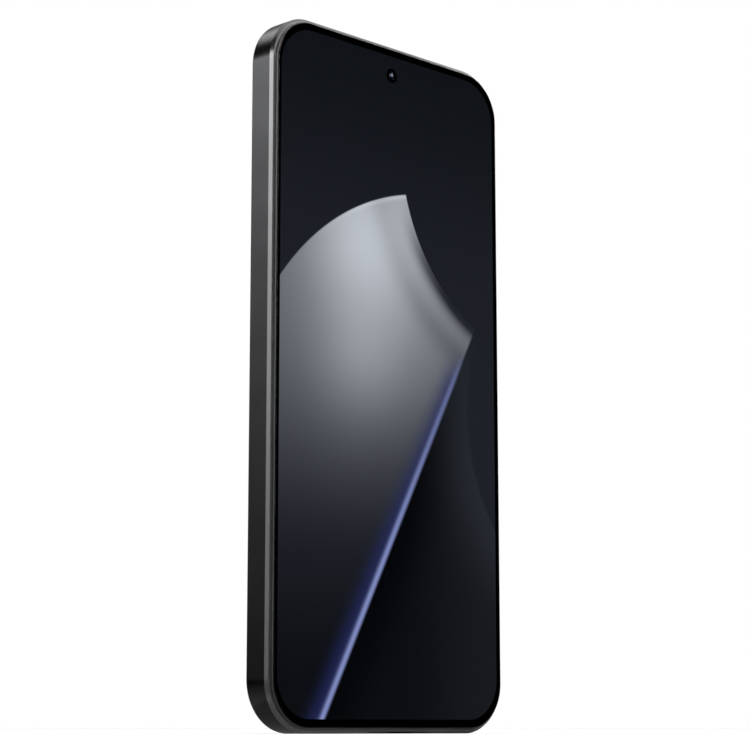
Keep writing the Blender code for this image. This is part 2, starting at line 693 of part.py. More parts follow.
def build():
    for old in list(bpy.data.objects):
        bpy.data.objects.remove(old, do_unlink=True)
    phone = empty("phone", (0, 0, 0))
    focus = empty("focus_slide", (LENS_X, 0.1, WIDE_Z), phone)
    buzz = empty("motor_slide", (-22.0, 0.45, 23.5), phone)
    slide = empty("tray_slide", (WIDTH / 2, PORT_Y, 20.0), phone)
    press = empty("power_press", (KEY_BACK, 0.0, 97.0), phone)
    rock = empty("volume_rock", (ROCK_X, 0.0, 118.5), phone)

    mid_frame(phone)
    antenna_inserts(phone)
    front_glass(phone)
    display(phone)
    front_camera(phone)
    earpiece(phone)
    main_board(phone)
    upper_bracket(phone)
    cameras(phone, focus)
    camera_plateau(phone)
    battery(phone)
    ribbons_and_cable(phone)
    sub_board(phone)
    usb_socket(phone)
    loudspeaker(phone)
    vibration_motor(phone, buzz)
    sim_tray(phone, slide)
    keys(phone, press, rock)
    back_cover(phone)
    screws(phone)


build()
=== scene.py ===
"""The looks of a smartphone that stands on its bottom edge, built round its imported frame.

X runs to the right as seen from the screen side, Y from the screen to the back, and Z up.
Outlines and sizes are in millimetres, and place() turns them into metres.
"""

import math
from functools import partial

import bmesh
import bpy
from mathutils import Euler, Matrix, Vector

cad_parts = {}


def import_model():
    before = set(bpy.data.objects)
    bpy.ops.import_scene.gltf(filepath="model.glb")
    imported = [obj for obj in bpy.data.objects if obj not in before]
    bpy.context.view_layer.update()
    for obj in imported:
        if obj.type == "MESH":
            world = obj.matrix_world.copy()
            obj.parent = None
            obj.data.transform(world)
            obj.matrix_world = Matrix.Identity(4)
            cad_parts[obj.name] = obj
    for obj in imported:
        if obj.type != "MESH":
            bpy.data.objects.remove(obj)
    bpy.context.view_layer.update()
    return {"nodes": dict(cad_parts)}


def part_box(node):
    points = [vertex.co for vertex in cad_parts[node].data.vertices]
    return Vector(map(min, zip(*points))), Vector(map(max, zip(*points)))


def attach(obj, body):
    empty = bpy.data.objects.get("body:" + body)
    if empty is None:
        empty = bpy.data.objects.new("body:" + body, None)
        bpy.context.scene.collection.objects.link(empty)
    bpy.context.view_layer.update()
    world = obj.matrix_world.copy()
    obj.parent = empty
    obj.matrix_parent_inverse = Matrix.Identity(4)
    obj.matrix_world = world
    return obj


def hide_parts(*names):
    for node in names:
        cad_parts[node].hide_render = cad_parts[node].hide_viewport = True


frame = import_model()

MM = 0.001
TAU = math.tau


def span(node):
    """A CAD node's lowest and highest corners in millimetres."""
    low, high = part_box(node)
    return low / MM, high / MM


def middle(node):
    low, high = span(node)
    return (low + high) / 2


def extent(node, axis):
    """A CAD node's middle and half length along axis 0, 1 or 2."""
    low, high = span(node)
    return (high[axis] + low[axis]) / 2, (high[axis] - low[axis]) / 2


# The body's outside, read from the frame
LOW, HIGH = span("mid_frame")
HALF = HIGH.x
HEIGHT = HIGH.z
LIP_FRONT = LOW.y
FRONT = LIP_FRONT + 0.7  # the flat strip inside the chamfer, behind the lip
BACK = HIGH.y
CORNER = 11.6
CORNER_STEPS = 26

# The frame's section, as insets from the outline and positions along Y
CHAMFER_IN = 0.45
CHAMFER_DEEP = 0.8
BACK_ROUND = 1.2
LIP = 1.0
FRONT_RECESS = 1.2
FRONT_GLASS = 1.25
FRONT_WALL = 1.95
BACK_RECESS = 1.45
BACK_GLASS = 1.5
WALL = 2.6
LEDGE_FRONT = -3.65
PLATE_FRONT = -2.35
PLATE_BACK = -1.55
LEDGE_BACK = 3.05
CREASE = 0.05

# The front glass and its rounded edge, and the lit area's distances from the outline
GLASS_FRONT = span("front_glass")[0].y
GLASS_BACK = span("front_glass")[1].y
GLASS_CURVE = 0.16
GLASS_CURVE_DEEP = 0.14
PRINT = (GLASS_BACK + 0.01, GLASS_BACK + 0.04)
LIT_SIDE = 2.35
LIT_TOP = 2.8
LIT_BOTTOM = 3.1
LIT_CORNER = 9.6
SELFIE = middle("front_camera_lens")
SELFIE_WINDOW = 1.75

# Openings in the frame: sockets, grille holes, microphones and keys
PORT_Y = middle("usb_socket_shell").y
BORE = WALL + 0.9
BOTTOM_MICROPHONE_X = 6.8
TOP_MICROPHONE = (12.5, -0.3)
GRILLE_X = -12.6
GRILLE_PITCH = 2.3
KEYS = {"power_key": "power_button", "volume_key": "volume_button"}
KEY_HALF = span("power_key")[1].y
KEY_POCKET = 35.9

# The camera plateau
PLATEAU_LOW, PLATEAU_HIGH = span("camera_plateau")
PLATEAU_FLANGE = 0.9
PLATEAU_CORNER = 6.5
PLATEAU_TOP = 5.55
SEAT = 4.95  # the lens windows' seats
WIDE = middle("wide_lens_cover")
ULTRAWIDE = middle("ultrawide_lens_cover")
FLASH = middle("flash_lens")

# Which coordinates an outline's (u, v) and its position stand for, by the axis it runs along
AXES = {"X": (1, 2, 0), "Y": (0, 2, 1), "Z": (0, 1, 2)}


def arc(steps, first=0, last=0):
    """Angles over a quarter turn, without some at its start and at its end."""
    return [math.pi / 2 * k / steps for k in range(first, steps + 1 - last)]


def place(u, v, along, axis):
    """A point in metres from an outline's (u, v) at a position along an axis."""
    point = [0.0, 0.0, 0.0]
    for index, value in zip(AXES[axis], (u, v, along)):
        point[index] = value * MM
    return point


# Outlines: lists of (u, v)


def fillet(corners, steps=4):
    """The points through (u, v, radius) corners, with an arc where there is a radius, corner by corner."""
    runs = []
    for i, (u, v, radius) in enumerate(corners):
        here = Vector((u, v))
        before = Vector(corners[i - 1][:2]) - here
        after = Vector(corners[(i + 1) % len(corners)][:2]) - here
        if radius <= 0:
            runs.append([(u, v)])
            continue
        before.normalize()
        after.normalize()
        half = before.angle(after) / 2
        centre = here + (before + after).normalized() * (radius / math.sin(half))
        reach = radius / math.tan(half)
        start = here + before * reach - centre
        end = here + after * reach - centre
        first = math.atan2(start.y, start.x)
        turn = math.remainder(math.atan2(end.y, end.x) - first, TAU)
        angles = [first + turn * k / steps for k in range(steps + 1)]
        runs.append([(centre.x + radius * math.cos(a), centre.y + radius * math.sin(a)) for a in angles])
    return runs


def rounded(corners, steps=4):
    return [point for run in fillet(corners, steps) for point in run]


def rectangle(u0, u1, v0, v1, radius=0.0, steps=8):
    return rounded([(u0, v0, radius), (u1, v0, radius), (u1, v1, radius), (u0, v1, radius)], steps)


def slot(u, v, half_u, half_v, grow=0.0, steps=10):
    """A rectangle round (u, v) with fully rounded ends, moved outwards."""
    half_u += grow
    half_v += grow
    return rectangle(u - half_u, u + half_u, v - half_v, v + half_v, min(half_u, half_v) * 0.999, steps)


def circle(u, v, radius, sides=48, grow=0.0):
    radius += grow
    angles = [TAU * k / sides for k in range(sides)]
    return [(u + radius * math.cos(a), v + radius * math.sin(a)) for a in angles]


def body(inset):
    """The phone's own outline, seen along Y, moved inwards."""
    half = HALF - inset
    return rectangle(-half, half, inset, HEIGHT - inset, CORNER - inset, CORNER_STEPS)


def plateau(grow):
    """The camera plateau's outline, moved outwards."""
    low, high = PLATEAU_LOW, PLATEAU_HIGH
    x = (low.x + PLATEAU_FLANGE - grow, high.x - PLATEAU_FLANGE + grow)
    z = (low.z + PLATEAU_FLANGE - grow, high.z - PLATEAU_FLANGE + grow)
    return rectangle(*x, *z, PLATEAU_CORNER + grow, 14)


# Meshes


def add_loft(mesh, rings, axis="Y", closed=False, indexes=None):
    """Walls through (outline, position) rings, capped at both ends, or joined up as a hoop."""
    loops = [[mesh.verts.new(place(u, v, along, axis)) for u, v in outline] for outline, along in rings]
    pairs = list(zip(loops, loops[1:]))
    if closed:
        pairs.append((loops[-1], loops[0]))
    else:
        mesh.faces.new(loops[0])
        mesh.faces.new(loops[-1][::-1])
    for number, (near, far) in enumerate(pairs):
        for i in range(len(near)):
            face = mesh.faces.new((near[i - 1], near[i], far[i], far[i - 1]))
            face.material_index = indexes[number] if indexes else 0


def solid(*parts):
    """A mesh of separate lofts (rings, axis, closed)."""
    mesh = bmesh.new()
    for rings, axis, closed in parts:
        add_loft(mesh, rings, axis, closed)
    return mesh


def prism(outline, low, high, axis="Y"):
    return [(outline, low), (outline, high)], axis, False


def disc(x, z, profile, sides=64):
    """A turned solid about a line along Y, from (radius, y) points that start and end on its flat ends."""
    return [(circle(x, z, radius, sides), y) for radius, y in profile], "Y", False


def dome(radius, foot, rim, rise):
    """A lens's (radius, y) profile: a flat foot, a straight rim and a domed face."""
    face = [(radius * math.cos(a), rim + rise * math.sin(a)) for a in arc(12, 1, 1)]
    return [(radius, foot), (radius, rim)] + face


def turned_ring(x, z, profile, sides=64):
    """A turned hoop about a line along Y, from a closed run of (radius, y) points."""
    return [(circle(x, z, radius, sides), y) for radius, y in profile], "Y", True


def hole(outline, surface, inward, depth, axis, flare=0.12):
    """A straight hole from a surface, with a small flared mouth. outline(grow=...) is its shape."""
    reach = 0.5
    rings = [
        (outline(grow=flare + reach), surface - inward * reach),
        (outline(grow=0.0), surface + inward * flare),
        (outline(grow=0.0), surface + inward * depth),
    ]
    return rings, axis, False


def data_of(name, mesh, finishes):
    """A mesh datablock with its faces pointing out."""
    bmesh.ops.recalc_face_normals(mesh, faces=mesh.faces)
    if mesh.calc_volume(signed=True) < 0:
        bmesh.ops.reverse_faces(mesh, faces=mesh.faces)
    data = bpy.data.meshes.new(name)
    mesh.to_mesh(data)
    mesh.free()
    for finish in finishes:
        data.materials.append(finish)
    return data


def add_object(name, data):
    made = bpy.data.objects.new(name, data)
    bpy.context.scene.collection.objects.link(made)
    return made


def carve(target, operation, mesh):
    """Applies a boolean with a mesh that isn't kept. New faces take the target's last finish."""
    finishes = target.data.materials
    for face in mesh.faces:
        face.material_index = len(finishes) - 1
    guide = add_object("guide", data_of("guide", mesh, finishes))
    modifier = target.modifiers.new("carve", "BOOLEAN")
    modifier.operation = operation
    modifier.solver = "EXACT"
    modifier.object = guide
    graph = bpy.context.evaluated_depsgraph_get()
    result = bpy.data.meshes.new_from_object(target.evaluated_get(graph))
    target.modifiers.clear()
    target.data = result
    bpy.data.objects.remove(guide)


def piece(name, mesh, finishes, stands_for=(), rides="phone", steps=()):
    """A finished piece. steps are (operation, mesh) booleans, done in order."""
    made = add_object(name, data_of(name, mesh, finishes))
    for operation, guide in steps:
        carve(made, operation, guide)
    made.data.shade_smooth()
    made.data.set_sharp_from_angle(angle=math.radians(32))
    weighted = made.modifiers.new("even_shading", "WEIGHTED_NORMAL")
    weighted.keep_sharp = True
    weighted.weight = 80
    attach(made, rides)
    if stands_for:
        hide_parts(*stands_for)
    return made


# Materials


def srgb(*values):
    """A linear colour from 0 to 255 screen values."""
    shares = [value / 255 for value in values]
    return tuple(s / 12.92 if s <= 0.04045 else ((s + 0.055) / 1.055) ** 2.4 for s in shares)


class Nodes:
    """Shader nodes in a tree. Values are sockets or plain numbers."""

    def __init__(self, tree):
        self.tree = tree

    def feed(self, socket, value):
        if isinstance(value, bpy.types.NodeSocket):
            self.tree.links.new(value, socket)
        elif isinstance(value, tuple) and socket.type == "RGBA":
            socket.default_value = (*value, 1.0)
        else:
            socket.default_value = value

    def node(self, kind, inputs, output=0, **settings):
        made = self.tree.nodes.new(kind)
        for key, value in settings.items():
            setattr(made, key, value)
        for key, value in inputs.items():
            self.feed(made.inputs[key], value)
        return made.outputs[output]

    def split(self, vector):
        """A vector's x, y and z."""
        made = self.tree.nodes.new("ShaderNodeSeparateXYZ")
        self.feed(made.inputs[0], vector)
        return tuple(made.outputs)

    def math(self, operation, a, b=0.0, clamp=False):
        return self.node("ShaderNodeMath", {0: a, 1: b}, operation=operation, use_clamp=clamp)

    def add(self, a, b):
        return self.math("ADD", a, b)

    def less(self, a, b):
        return self.math("SUBTRACT", a, b)

    def times(self, a, b):
        return self.math("MULTIPLY", a, b)

    def smooth(self, value, low, high, start=0.0, end=1.0):
        """An eased step of value from low to high; low may be the larger one."""
        if low > high:
            low, high, start, end = high, low, end, start
        inputs = {"Value": value, "From Min": low, "From Max": high, "To Min": start, "To Max": end}
        return self.node("ShaderNodeMapRange", inputs, interpolation_type="SMOOTHSTEP")

    def bell(self, value, centre, width):
        """1 at the centre, falling off over the width."""
        away = self.math("DIVIDE", self.less(value, centre), width)
        return self.math("EXPONENT", self.times(self.times(away, away), -1.0))

    def distance(self, u, v, x, z):
        """How far (x, z) is from the point (u, v)."""
        across = self.less(x, u)
        up = self.less(z, v)
        return self.math("SQRT", self.add(self.times(across, across), self.times(up, up)))

    def mix(self, share, a, b):
        """A colour between two others."""
        return self.node("ShaderNodeMix", {0: share, 6: a, 7: b}, 2, data_type="RGBA")

    def glow(self, base, extra):
        """Two colours added."""
        inputs = {0: 1.0, 6: base, 7: extra}
        return self.node("ShaderNodeMix", inputs, 2, data_type="RGBA", blend_type="ADD")

    def tinted(self, colour, amount):
        """A colour scaled by an amount."""
        return self.mix(amount, (0.0, 0.0, 0.0), colour)


class Graph(Nodes):
    """A material's nodes, with positions in millimetres."""

    def __init__(self, name, metallic=0.0, roughness=0.5, **constants):
        self.material = bpy.data.materials.new(name)
        self.material.use_nodes = True
        super().__init__(self.material.node_tree)
        self.shader = self.tree.nodes["Principled BSDF"]
        self.set("Metallic", metallic)
        self.set("Roughness", roughness)
        for key, value in constants.items():
            self.set(key.replace("_", " "), value)
        coordinates = self.node("ShaderNodeTexCoord", {}, "Object")
        inputs = {0: coordinates, "Scale": 1 / MM}
        self.place = self.node("ShaderNodeVectorMath", inputs, operation="SCALE")
        self.x, self.y, self.z = self.split(self.place)

    def set(self, name, value):
        self.feed(self.shader.inputs[name], value)

    def stretched(self, x, y, z):
        return self.node("ShaderNodeVectorMath", {0: self.place, 1: (x, y, z)}, operation="MULTIPLY")

    def noise(self, scale, detail=2.0, rough=0.5, at=None):
        inputs = {"Vector": at or self.place, "Scale": scale, "Detail": detail, "Roughness": rough}
        return self.node("ShaderNodeTexNoise", inputs, noise_dimensions="3D")

    def cells(self, scale):
        return self.node("ShaderNodeTexVoronoi", {"Vector": self.place, "Scale": scale}, "Distance")

    def stripes(self, value, pitch, share):
        """1 on stripes that take a share of each pitch."""
        phase = self.math("FRACT", self.math("DIVIDE", value, pitch))
        return self.smooth(self.math("PINGPONG", phase, 0.5), 0.5 * share + 0.04, 0.5 * share - 0.04)

    def bump(self, height, depth):
        inputs = {"Height": height, "Distance": depth * MM, "Strength": 1.0}
        return self.node("ShaderNodeBump", inputs)


def scaled(colour, amount):
    return tuple(channel * amount for channel in colour)


def metal(name, colour, rough, grain=9.0, depth=0.0012, brushed=None, vary=0.08, **constants):
    """Blasted or brushed metal, with slight tone and polish differences and a few faint rub marks."""
    g = Graph(name, 1.0, rough, **constants)
    cloud = g.noise(0.09, 3.0)
    g.set("Base Color", g.mix(g.smooth(cloud, 0.3, 0.7), scaled(colour, 1 - vary), scaled(colour, 1 + vary)))
    at = g.stretched(*brushed) if brushed else None
    fine = g.noise(grain, 2.0, 0.6, at)
    rubbed = g.smooth(g.noise(0.5, 4.0, 0.6), 0.56, 0.74)
    spread = g.add(g.times(g.less(fine, 0.5), 0.06), g.times(rubbed, -0.03))
    g.set("Roughness", g.math("ADD", spread, rough, clamp=True))
    g.set("Normal", g.bump(fine, depth))
    return g.material


def moulded(name, colour, rough=0.5, grain=6.0, depth=0.006, **constants):
    """Moulded plastic or rubber with a fine spark texture."""
    g = Graph(name, 0.0, rough, **constants)
    cloud = g.noise(0.2, 3.0)
    fine = g.noise(grain, 2.0, 0.6)
    g.set("Base Color", g.mix(cloud, scaled(colour, 0.82), scaled(colour, 1.18)))
    uneven = g.add(g.times(cloud, 0.5), g.times(fine, 0.5))
    g.set("Roughness", g.smooth(uneven, 0.3, 0.7, rough - 0.07, rough + 0.07))
    g.set("Normal", g.bump(fine, depth))
    return g.material


def glossy_glass(name, tint, ior=1.5):
    """Clear glass with the faintest smudges in its polish."""
    g = Graph(name, 0.0, 0.0, Transmission_Weight=1.0, IOR=ior)
    smudge = g.smooth(g.noise(0.12, 4.0, 0.6), 0.45, 0.8)
    g.set("Base Color", g.mix(smudge, tint, scaled(tint, 0.99)))
    g.set("Roughness", g.times(smudge, 0.012))
    return g.material


satin = metal("satin_frame", (0.085, 0.086, 0.089), 0.21, 8.0, 0.0008)
bright_cut = metal("bright_cut", (0.36, 0.36, 0.365), 0.18, 3.0, 0.0003, (0.25, 0.25, 6.0), 0.03)
rim_metal = metal("rim_metal", (0.22, 0.221, 0.224), 0.42, 8.0, 0.0012)
lip_metal = metal("lip_metal", (0.20, 0.201, 0.204), 0.36, 8.0, 0.0012)
inner_metal = metal("inner_metal", (0.22, 0.22, 0.225), 0.45, 5.0, 0.004)
steel = metal("rolled_steel", (0.50, 0.50, 0.51), 0.33, 4.0, 0.001, (0.4, 0.4, 7.0))
clear_glass = glossy_glass("cover_glass", (1.0, 1.0, 1.0))
bonded_glass = glossy_glass("bonded_glass", (1.0, 1.0, 1.0), 1.0)  # no gap, so no reflection
print_black = moulded("border_print", (0.0012, 0.0012, 0.0013), 0.28, 3.0, 0.0005, Specular_IOR_Level=0.0)
insert_plastic = moulded("insert_plastic", (0.020, 0.020, 0.021), 0.42)
black_plastic = moulded("black_plastic", (0.022, 0.022, 0.023), 0.55)


# The lit display


CREASE_LOW = (-21.5, 3.0)  # the fold's ends
CREASE_HIGH = (27.5, 94.0)
SHEET_ARC = (20.0, 57.0, 69.5)  # centre and radius of the pale sheet's long edge
FLANK_ARC = (49.0, 137.0, 46.0)  # and of its hollow short edge
ROLL_ARC = (72.0, 76.0, 45.0)  # and of the soft roll in the shade below the fold


def wallpaper(g):
    """A plain abstract picture: a pale curved sheet on slate, cut off by a straight blue fold."""
    x, z = g.x, g.z
    run = Vector(CREASE_HIGH) - Vector(CREASE_LOW)
    along_x, along_z = run.normalized()
    from_x = g.less(x, CREASE_LOW[0])
    from_z = g.less(z, CREASE_LOW[1])
    right = g.less(g.times(from_x, along_z), g.times(from_z, along_x))
    along = g.add(g.times(from_x, along_x), g.times(from_z, along_z))

    ground = g.mix(g.smooth(z, 158.0, 100.0), srgb(17, 20, 25), srgb(29, 32, 38))
    ground = g.mix(g.smooth(z, 20.0, 80.0), srgb(13, 15, 19), ground)

    big = g.distance(*SHEET_ARC[:2], x, z)
    flank = g.distance(*FLANK_ARC[:2], x, z)
    inside = g.smooth(big, SHEET_ARC[2] + 0.2, SHEET_ARC[2] - 0.2)
    inside = g.times(inside, g.smooth(flank, FLANK_ARC[2] - 0.2, FLANK_ARC[2] + 0.2))
    inside = g.times(inside, g.smooth(right, 0.4, -0.4))

    fade = g.smooth(z, 36.0, 108.0)
    fade = g.times(fade, g.smooth(g.add(z, g.times(x, -0.55)), 40.0, 104.0, 0.30, 1.0))
    shine = g.smooth(x, -36.0, -8.0, 0.15, 0.28)
    for height, width, strength in ((112.0, 17.0, 0.30), (81.0, 14.0, 0.17)):
        spot = g.bell(g.distance(-8.0, height, x, z), 0.0, width)
        shine = g.add(shine, g.times(spot, strength))
    shine = g.less(shine, g.times(g.bell(flank, FLANK_ARC[2] + 9.0, 4.0), 0.10))
    flank_shade = g.smooth(z, 124.0, 108.0, 0.0, 0.30)
    shine = g.less(shine, g.times(g.bell(flank, FLANK_ARC[2] + 0.5, 2.6), flank_shade))
    edge_light = g.times(g.bell(big, SHEET_ARC[2] - 0.5, 0.5), g.smooth(x, -28.0, 6.0, 0.0, 0.14))
    tone = g.math("MAXIMUM", g.add(g.times(fade, shine), edge_light), 0.0)
    depths = g.mix(g.smooth(z, 8.0, 66.0), srgb(13, 15, 20), srgb(36, 39, 46))
    sheet = g.glow(g.tinted(srgb(240, 246, 255), tone), depths)
    picture = g.mix(inside, ground, sheet)

    lit = g.smooth(right, -9.0, 0.0)
    lit = g.times(lit, g.smooth(right, 0.7, -0.2))
    upper = g.smooth(along, 100.0, 88.0)
    navy = g.times(g.times(lit, lit), upper)
    picture = g.mix(g.times(navy, 0.85), picture, srgb(38, 44, 92))
    core = g.times(upper, g.smooth(along, 104.0, 30.0, 0.35, 1.0))
    core = g.times(g.bell(right, -0.4, 0.75), core)
    picture = g.mix(g.times(core, 0.92), picture, srgb(134, 146, 198))

    below = g.times(g.smooth(right, 0.2, 0.9), g.smooth(along, 106.0, 94.0))
    shade = g.mix(g.smooth(right, 0.0, 16.0), srgb(5, 6, 9), srgb(13, 14, 19))
    roll = g.distance(*ROLL_ARC[:2], x, z)
    band = g.times(g.bell(roll, ROLL_ARC[2], 11.0), g.smooth(z, 4.0, 42.0))
    shade = g.glow(shade, g.tinted(srgb(27, 30, 35), band))
    shade = g.glow(shade, g.tinted(srgb(16, 18, 20), g.smooth(x, 2.0, 34.0)))
    inner = g.mix(g.smooth(z, 16.0, 60.0), srgb(19, 22, 27), srgb(31, 34, 41))
    shade = g.mix(g.smooth(roll, ROLL_ARC[2] + 2.0, ROLL_ARC[2] + 1.0), shade, inner)
    return g.mix(below, picture, shade)


def display_material():
    """Gives off the wallpaper's light inside the lit area, and is black round it."""
    g = Graph("lit_display", 0.0, 0.3, Specular_IOR_Level=0.0)
    g.set("Base Color", (0.001, 0.001, 0.0012))
    middle_z = (HEIGHT - LIT_TOP + LIT_BOTTOM) / 2
    half_z = (HEIGHT - LIT_TOP - LIT_BOTTOM) / 2
    across = g.math("ABSOLUTE", g.x)
    up = g.math("ABSOLUTE", g.less(g.z, middle_z))
    corner_x = g.math("MAXIMUM", g.less(across, HALF - LIT_SIDE - LIT_CORNER), 0.0)
    corner_z = g.math("MAXIMUM", g.less(up, half_z - LIT_CORNER), 0.0)
    reach = g.distance(0.0, 0.0, corner_x, corner_z)
    lit = g.smooth(reach, LIT_CORNER + 0.12, LIT_CORNER)
    g.set("Emission Color", g.tinted(wallpaper(g), lit))
    g.set("Emission Strength", 1.02)
    return g.material


# The frame


# The section's corners, front to back: inset, Y, rounding radius, and the zone of the strip after it
SECTION = [
    (FRONT_WALL, PLATE_FRONT, 0.0, "inside"),
    (FRONT_WALL, LEDGE_FRONT, CREASE, "inside"),
    (FRONT_RECESS, LEDGE_FRONT, CREASE, "inside"),
    (FRONT_RECESS, LIP_FRONT, CREASE, "lip"),
    (LIP, LIP_FRONT, 0.14, "lip"),
    (LIP, FRONT, CREASE, "rim"),
    (CHAMFER_IN, FRONT, CREASE, "cut"),
    (0.0, FRONT + CHAMFER_DEEP, CREASE, "side"),
    (0.0, BACK, BACK_ROUND, "side"),
    (BACK_RECESS, BACK, CREASE, "inside"),
    (BACK_RECESS, LEDGE_BACK, CREASE, "inside"),
    (WALL, LEDGE_BACK, CREASE, "inside"),
    (WALL, PLATE_BACK, 0.0, "inside"),
]
ZONES = {"side": 0, "cut": 1, "rim": 2, "lip": 3, "inside": 4}
FRAME_FINISHES = (satin, bright_cut, rim_metal, lip_metal, inner_metal)


def frame_mesh():
    """The frame's section swept round the outline, each strip in the finish of its zone."""
    runs = fillet([corner[:3] for corner in SECTION], 6)
    rings = []
    indexes = []
    zone = ZONES["inside"]
    for run, corner in zip(runs, SECTION):
        for k, (inset, y) in enumerate(run):
            if k >= len(run) // 2:
                zone = ZONES[corner[3]]
            rings.append((body(inset), y))
            indexes.append(zone)
    mesh = bmesh.new()
    add_loft(mesh, rings, indexes=indexes)
    return mesh


# The antenna inserts' front, half width and depth into the frame
INSERT_FRONT = -2.45
INSERT_HALF = 0.7
INSERT_DEEP = 1.9
INSERTS = [name for name in frame["nodes"] if name.startswith("antenna_insert")]


def insert_box(node, gap):
    """The block that holds an antenna insert, made smaller all round by a gap."""
    x = middle(node).x
    half = INSERT_HALF - gap
    deep = INSERT_DEEP - gap
    outside = 1.0
    z = (HEIGHT - deep, HEIGHT + outside) if "top" in node else (-outside, deep)
    return prism(rectangle(x - half, x + half, *z), INSERT_FRONT + gap, BACK + outside)


# The screws' posts, with their tops along Y above and below the middle, and the battery's ribs
SCREWS = sorted(name for name in frame["nodes"] if name.startswith("screw_"))
POST = 1.9
UPPER_POST = 0.2
LOWER_POST = 1.4
RIB_X = ((-30.0, -8.0), (8.0, 30.0))
RIB_Z = ((27.9, 28.9), (109.2, 110.2))
RIB_TOP = 0.8


def stems_of(node):
    """Where a key's stems are: one at the middle of a short key, one near each end of a long one."""
    z, half = extent(node, 2)
    return [z] if half < 7.5 else [z - half + 4.0, z + half - 4.0]


def outer_openings():
    """Socket, microphones, earpiece slit, tray slot, key pockets and grille holes."""
    gap = 0.15
    microphone = 0.45
    tray_z, tray_half = extent("sim_tray", 2)
    socket = partial(slot, middle("usb_socket_shell").x, PORT_Y, 4.55, 1.6)
    lower = partial(circle, BOTTOM_MICROPHONE_X, PORT_Y, microphone, 24)
    upper = partial(circle, *TOP_MICROPHONE, microphone, 24)
    tray = partial(slot, PORT_Y, tray_z, 1.3, tray_half + 0.1)
    parts = [
        hole(socket, 0.0, 1, BORE, "Z", 0.2),
        hole(lower, 0.0, 1, BORE, "Z", 0.1),
        hole(upper, HEIGHT, -1, BORE, "Z", 0.1),
        prism(slot(0.0, HEIGHT - 1.175, 12.9, 0.375), LIP_FRONT - 0.5, -0.6),
        hole(tray, HALF, -1, 3.5, "X", 0.06),
    ]
    for node in KEYS:
        z, half = extent(node, 2)
        pocket = partial(slot, 0.0, z, KEY_HALF + gap, half + gap)
        parts.append(hole(pocket, HALF, -1, HALF - KEY_POCKET, "X", 0.1))
    for k in range(6):
        sound_hole = partial(circle, GRILLE_X - GRILLE_PITCH * k, PORT_Y, 0.65, 32)
        parts.append(hole(sound_hole, 0.0, 1, BORE, "Z"))
    return solid(*parts)


def inner_openings():
    """Ways for key stems and earpiece sound, the plate's three windows, and the screws' holes."""
    parts = [
        prism(rectangle(-0.9, 0.9, z - 1.4, z + 1.4), 34.0, KEY_POCKET + 0.3, "X")
        for node in KEYS
        for z in stems_of(node)
    ]
    plate = (-2.8, -1.2)
    parts += [
        prism(rectangle(-16.0, -8.0, 156.5, HEIGHT - 1.0), -1.4, -0.4),
        prism(rectangle(-3.5, 3.5, 149.3, 156.3, 0.6), *plate),
        prism(rectangle(-5.4, 5.4, 18.4, 27.5, 0.6), *plate),
        prism(rectangle(-5.2, 5.2, 10.4, 12.6), *plate),
    ]
    for node in SCREWS:
        spot = middle(node)
        parts.append(prism(circle(spot.x, spot.z, 0.8, 16), -1.3, LOWER_POST + 1.0))
    return solid(*parts)


def frame_body():
    """The frame with its posts, ribs and openings, and the plastic bands let into it."""
    root = PLATE_BACK - 0.3
    posts = []
    for node in SCREWS:
        spot = middle(node)
        top = UPPER_POST if spot.z > HEIGHT / 2 else LOWER_POST
        posts.append(prism(circle(spot.x, spot.z, POST, 24), root, top))
    posts += [prism(rectangle(*x, *z), root, RIB_TOP) for z in RIB_Z for x in RIB_X]
    blocks = solid(*[insert_box(node, 0.0) for node in INSERTS])
    steps = [
        ("UNION", solid(*posts)),
        ("DIFFERENCE", outer_openings()),
        ("DIFFERENCE", blocks),
        ("DIFFERENCE", inner_openings()),
    ]
    piece("frame_body", frame_mesh(), FRAME_FINISHES, ["mid_frame"], steps=steps)
    for node in INSERTS:
        block = solid(insert_box(node, 0.03))
        finishes = [insert_plastic] * len(ZONES)
        steps = [("INTERSECT", block)]
        piece(f"{node}_band", frame_mesh(), finishes, [node], steps=steps)


# The front


def glass_edge(front, straight, reach, steps=12):
    """The rounded edge of a glass, as (inset, y) points from its side to its face."""
    return [(reach * (1 - math.cos(a)), straight + (front - straight) * math.sin(a)) for a in arc(steps)]


def lit_area():
    """The lit area's outline: a thicker border at the bottom than at the sides."""
    half = HALF - LIT_SIDE
    return rectangle(-half, half, LIT_BOTTOM, HEIGHT - LIT_TOP, LIT_CORNER, CORNER_STEPS)


def front():
    """The cover glass with its print, and the display behind it."""
    edge = [(0.0, GLASS_BACK)] + glass_edge(GLASS_FRONT, GLASS_FRONT + GLASS_CURVE_DEEP, GLASS_CURVE)
    rings = [(body(FRONT_GLASS + inset), y) for inset, y in edge]
    mesh = bmesh.new()
    add_loft(mesh, rings)
    for face in mesh.faces:
        at_back = all(abs(vert.co.y - GLASS_BACK * MM) < 1e-6 for vert in face.verts)
        face.material_index = int(at_back)
    piece("cover_glass", mesh, [clear_glass, bonded_glass], ["front_glass"])

    outer = body(FRONT_GLASS + 0.02)
    rings = [(outer, PRINT[0]), (outer, PRINT[1]), (lit_area(), PRINT[1]), (lit_area(), PRINT[0])]
    piece("border_print", solid((rings, "Y", True)), [print_black])
    x, z = SELFIE.x, SELFIE.z
    run = [(1.0, PRINT[0]), (SELFIE_WINDOW, PRINT[0]), (SELFIE_WINDOW, PRINT[1]), (1.0, PRINT[1])]
    piece("camera_ring_print", solid(turned_ring(x, z, run)), [print_black])

    low, high = span("display_panel")
    panel = solid(prism(body(low.x + HALF), low.y, high.y))
    window = solid(disc(x, z, [(SELFIE_WINDOW, low.y - 1.0), (SELFIE_WINDOW, high.y + 1.0)], 48))
    steps = [("DIFFERENCE", window)]
    piece("display_face", panel, [display_material()], ["display_panel"], steps=steps)


